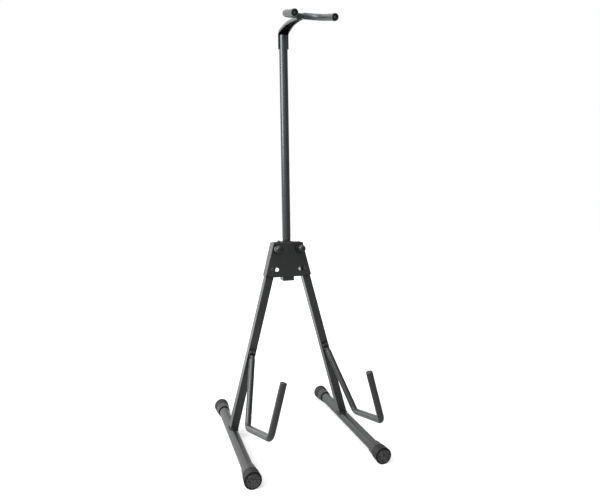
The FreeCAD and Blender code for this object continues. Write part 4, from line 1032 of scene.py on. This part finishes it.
def buildFloor():
    half = stage["floorSize"] / 2
    mesh = bpy.data.meshes.new("floor")
    corners = [(x * half, y * half, 0) for x, y in ((-1, -1), (1, -1), (1, 1), (-1, 1))]
    mesh.from_pydata(corners, [], [(0, 1, 2, 3)])
    floor = bpy.data.objects.new("floor", mesh)
    scene.collection.objects.link(floor)
    finish = bpy.data.materials.new("paleFloor")
    finish.use_nodes = True
    tree = finish.node_tree
    tree.nodes.clear()
    where = objectSpace(tree)
    paper = tree.nodes.new("ShaderNodeBsdfDiffuse")
    low, high = noiseSpan
    darker, lighter = [(stage["floorGrey"] + way * stage["greySpread"],) * 3 for way in (-1, 1)]
    shade = ramp(tree, noise(tree, where, stage["paper"]), [(low, darker), (high, lighter)])
    tree.links.new(shade, paper.inputs["Color"])
    away = vectorStep(tree, "LENGTH", where)
    rising = spread(tree, away, stage["glowFrom"], stage["glowTo"], stage["nearGlow"], stage["farGlow"])
    behind = vectorStep(tree, "DOT_PRODUCT", where, stage["sweepSide"])
    sweep = spread(tree, behind, stage["sweepFrom"], stage["sweepTo"], 0.0, stage["sheen"])
    path = tree.nodes.new("ShaderNodeLightPath")
    mirrored = times(tree, path.outputs["Is Glossy Ray"], sweep)
    glow = tree.nodes.new("ShaderNodeEmission")
    strength = atLeast(tree, times(tree, seenPlainly(tree, path), rising), mirrored)
    tree.links.new(strength, glow.inputs["Strength"])
    both = tree.nodes.new("ShaderNodeAddShader")
    tree.links.new(paper.outputs["BSDF"], both.inputs[0])
    tree.links.new(glow.outputs["Emission"], both.inputs[1])
    out = tree.nodes.new("ShaderNodeOutputMaterial")
    tree.links.new(both.outputs["Shader"], out.inputs["Surface"])
    mesh.materials.append(finish)


def buildWorld():
    world = bpy.data.worlds.new("studio")
    scene.world = world
    world.use_nodes = True
    tree = world.node_tree
    background = tree.nodes["Background"]
    background.inputs["Color"].default_value = (1.0, 1.0, 1.0, 1.0)
    coords = tree.nodes.new("ShaderNodeTexCoord")
    leftward = vectorStep(tree, "DOT_PRODUCT", coords.outputs["Generated"], stage["brightSide"])
    room = spread(tree, leftward, stage["darkFrom"], stage["brightFrom"], stage["darkRoom"], 1.0)
    path = tree.nodes.new("ShaderNodeLightPath")
    mirrored = times(tree, room, stage["sheen"])
    lit = blend(tree, path.outputs["Is Glossy Ray"], times(tree, room, stage["ambient"]), mirrored)
    tree.links.new(blend(tree, seenPlainly(tree, path), lit, 1.0), background.inputs["Strength"])


lamps = {
    "side": {"at": (-1.85, -0.5, 1.5), "aim": (0.0, 0.0, 0.9), "size": (1.4, 1.3), "watts": 60.0,
             "tint": (0.93, 0.97, 1.0)},
    "top": {"at": (-0.7, -0.6, 2.4), "aim": (0.0, 0.0, 0.2), "size": (1.4, 1.4), "watts": 28.0,
            "tint": (1.0, 1.0, 1.0)},
}


def buildLamps():
    for name, lamp in lamps.items():
        light = bpy.data.lights.new(name, "AREA")
        light.shape = "RECTANGLE"
        light.size, light.size_y = lamp["size"]
        light.energy = lamp["watts"]
        light.color = lamp["tint"]
        holder = bpy.data.objects.new(name, light)
        scene.collection.objects.link(holder)
        holder.location = lamp["at"]
        aim = Vector(lamp["aim"]) - Vector(lamp["at"])
        holder.rotation_mode = "QUATERNION"
        holder.rotation_quaternion = aim.to_track_quat("-Z", "Y")


view = {
    "at": (-0.33772, -1.14327, 0.56220),
    "heading": math.radians(18.018),  # to the right of straight ahead
    "pitch": math.radians(-4.984),
    "roll": math.radians(-0.812),
    "lens": 29.507,
    "sensor": 36.0,
}


def buildCamera():
    camera = bpy.data.cameras.new("camera")
    camera.sensor_fit = "HORIZONTAL"
    camera.sensor_width = view["sensor"]
    camera.lens = view["lens"]
    holder = bpy.data.objects.new("camera", camera)
    scene.collection.objects.link(holder)
    right = Vector((math.cos(view["heading"]), -math.sin(view["heading"]), 0))
    level = Vector((math.sin(view["heading"]), math.cos(view["heading"]), 0))
    ahead = level * math.cos(view["pitch"]) + Vector((0, 0, math.sin(view["pitch"])))
    upward = right.cross(ahead)
    tilt = view["roll"]
    across = right * math.cos(tilt) + upward * math.sin(tilt)
    upright = upward * math.cos(tilt) - right * math.sin(tilt)
    turn = Matrix((across, upright, -ahead)).transposed()
    holder.matrix_world = Matrix.Translation(view["at"]) @ turn.to_4x4()
    scene.camera = holder


buildFloor()
buildWorld()
buildLamps()
buildCamera()
print("stage set")
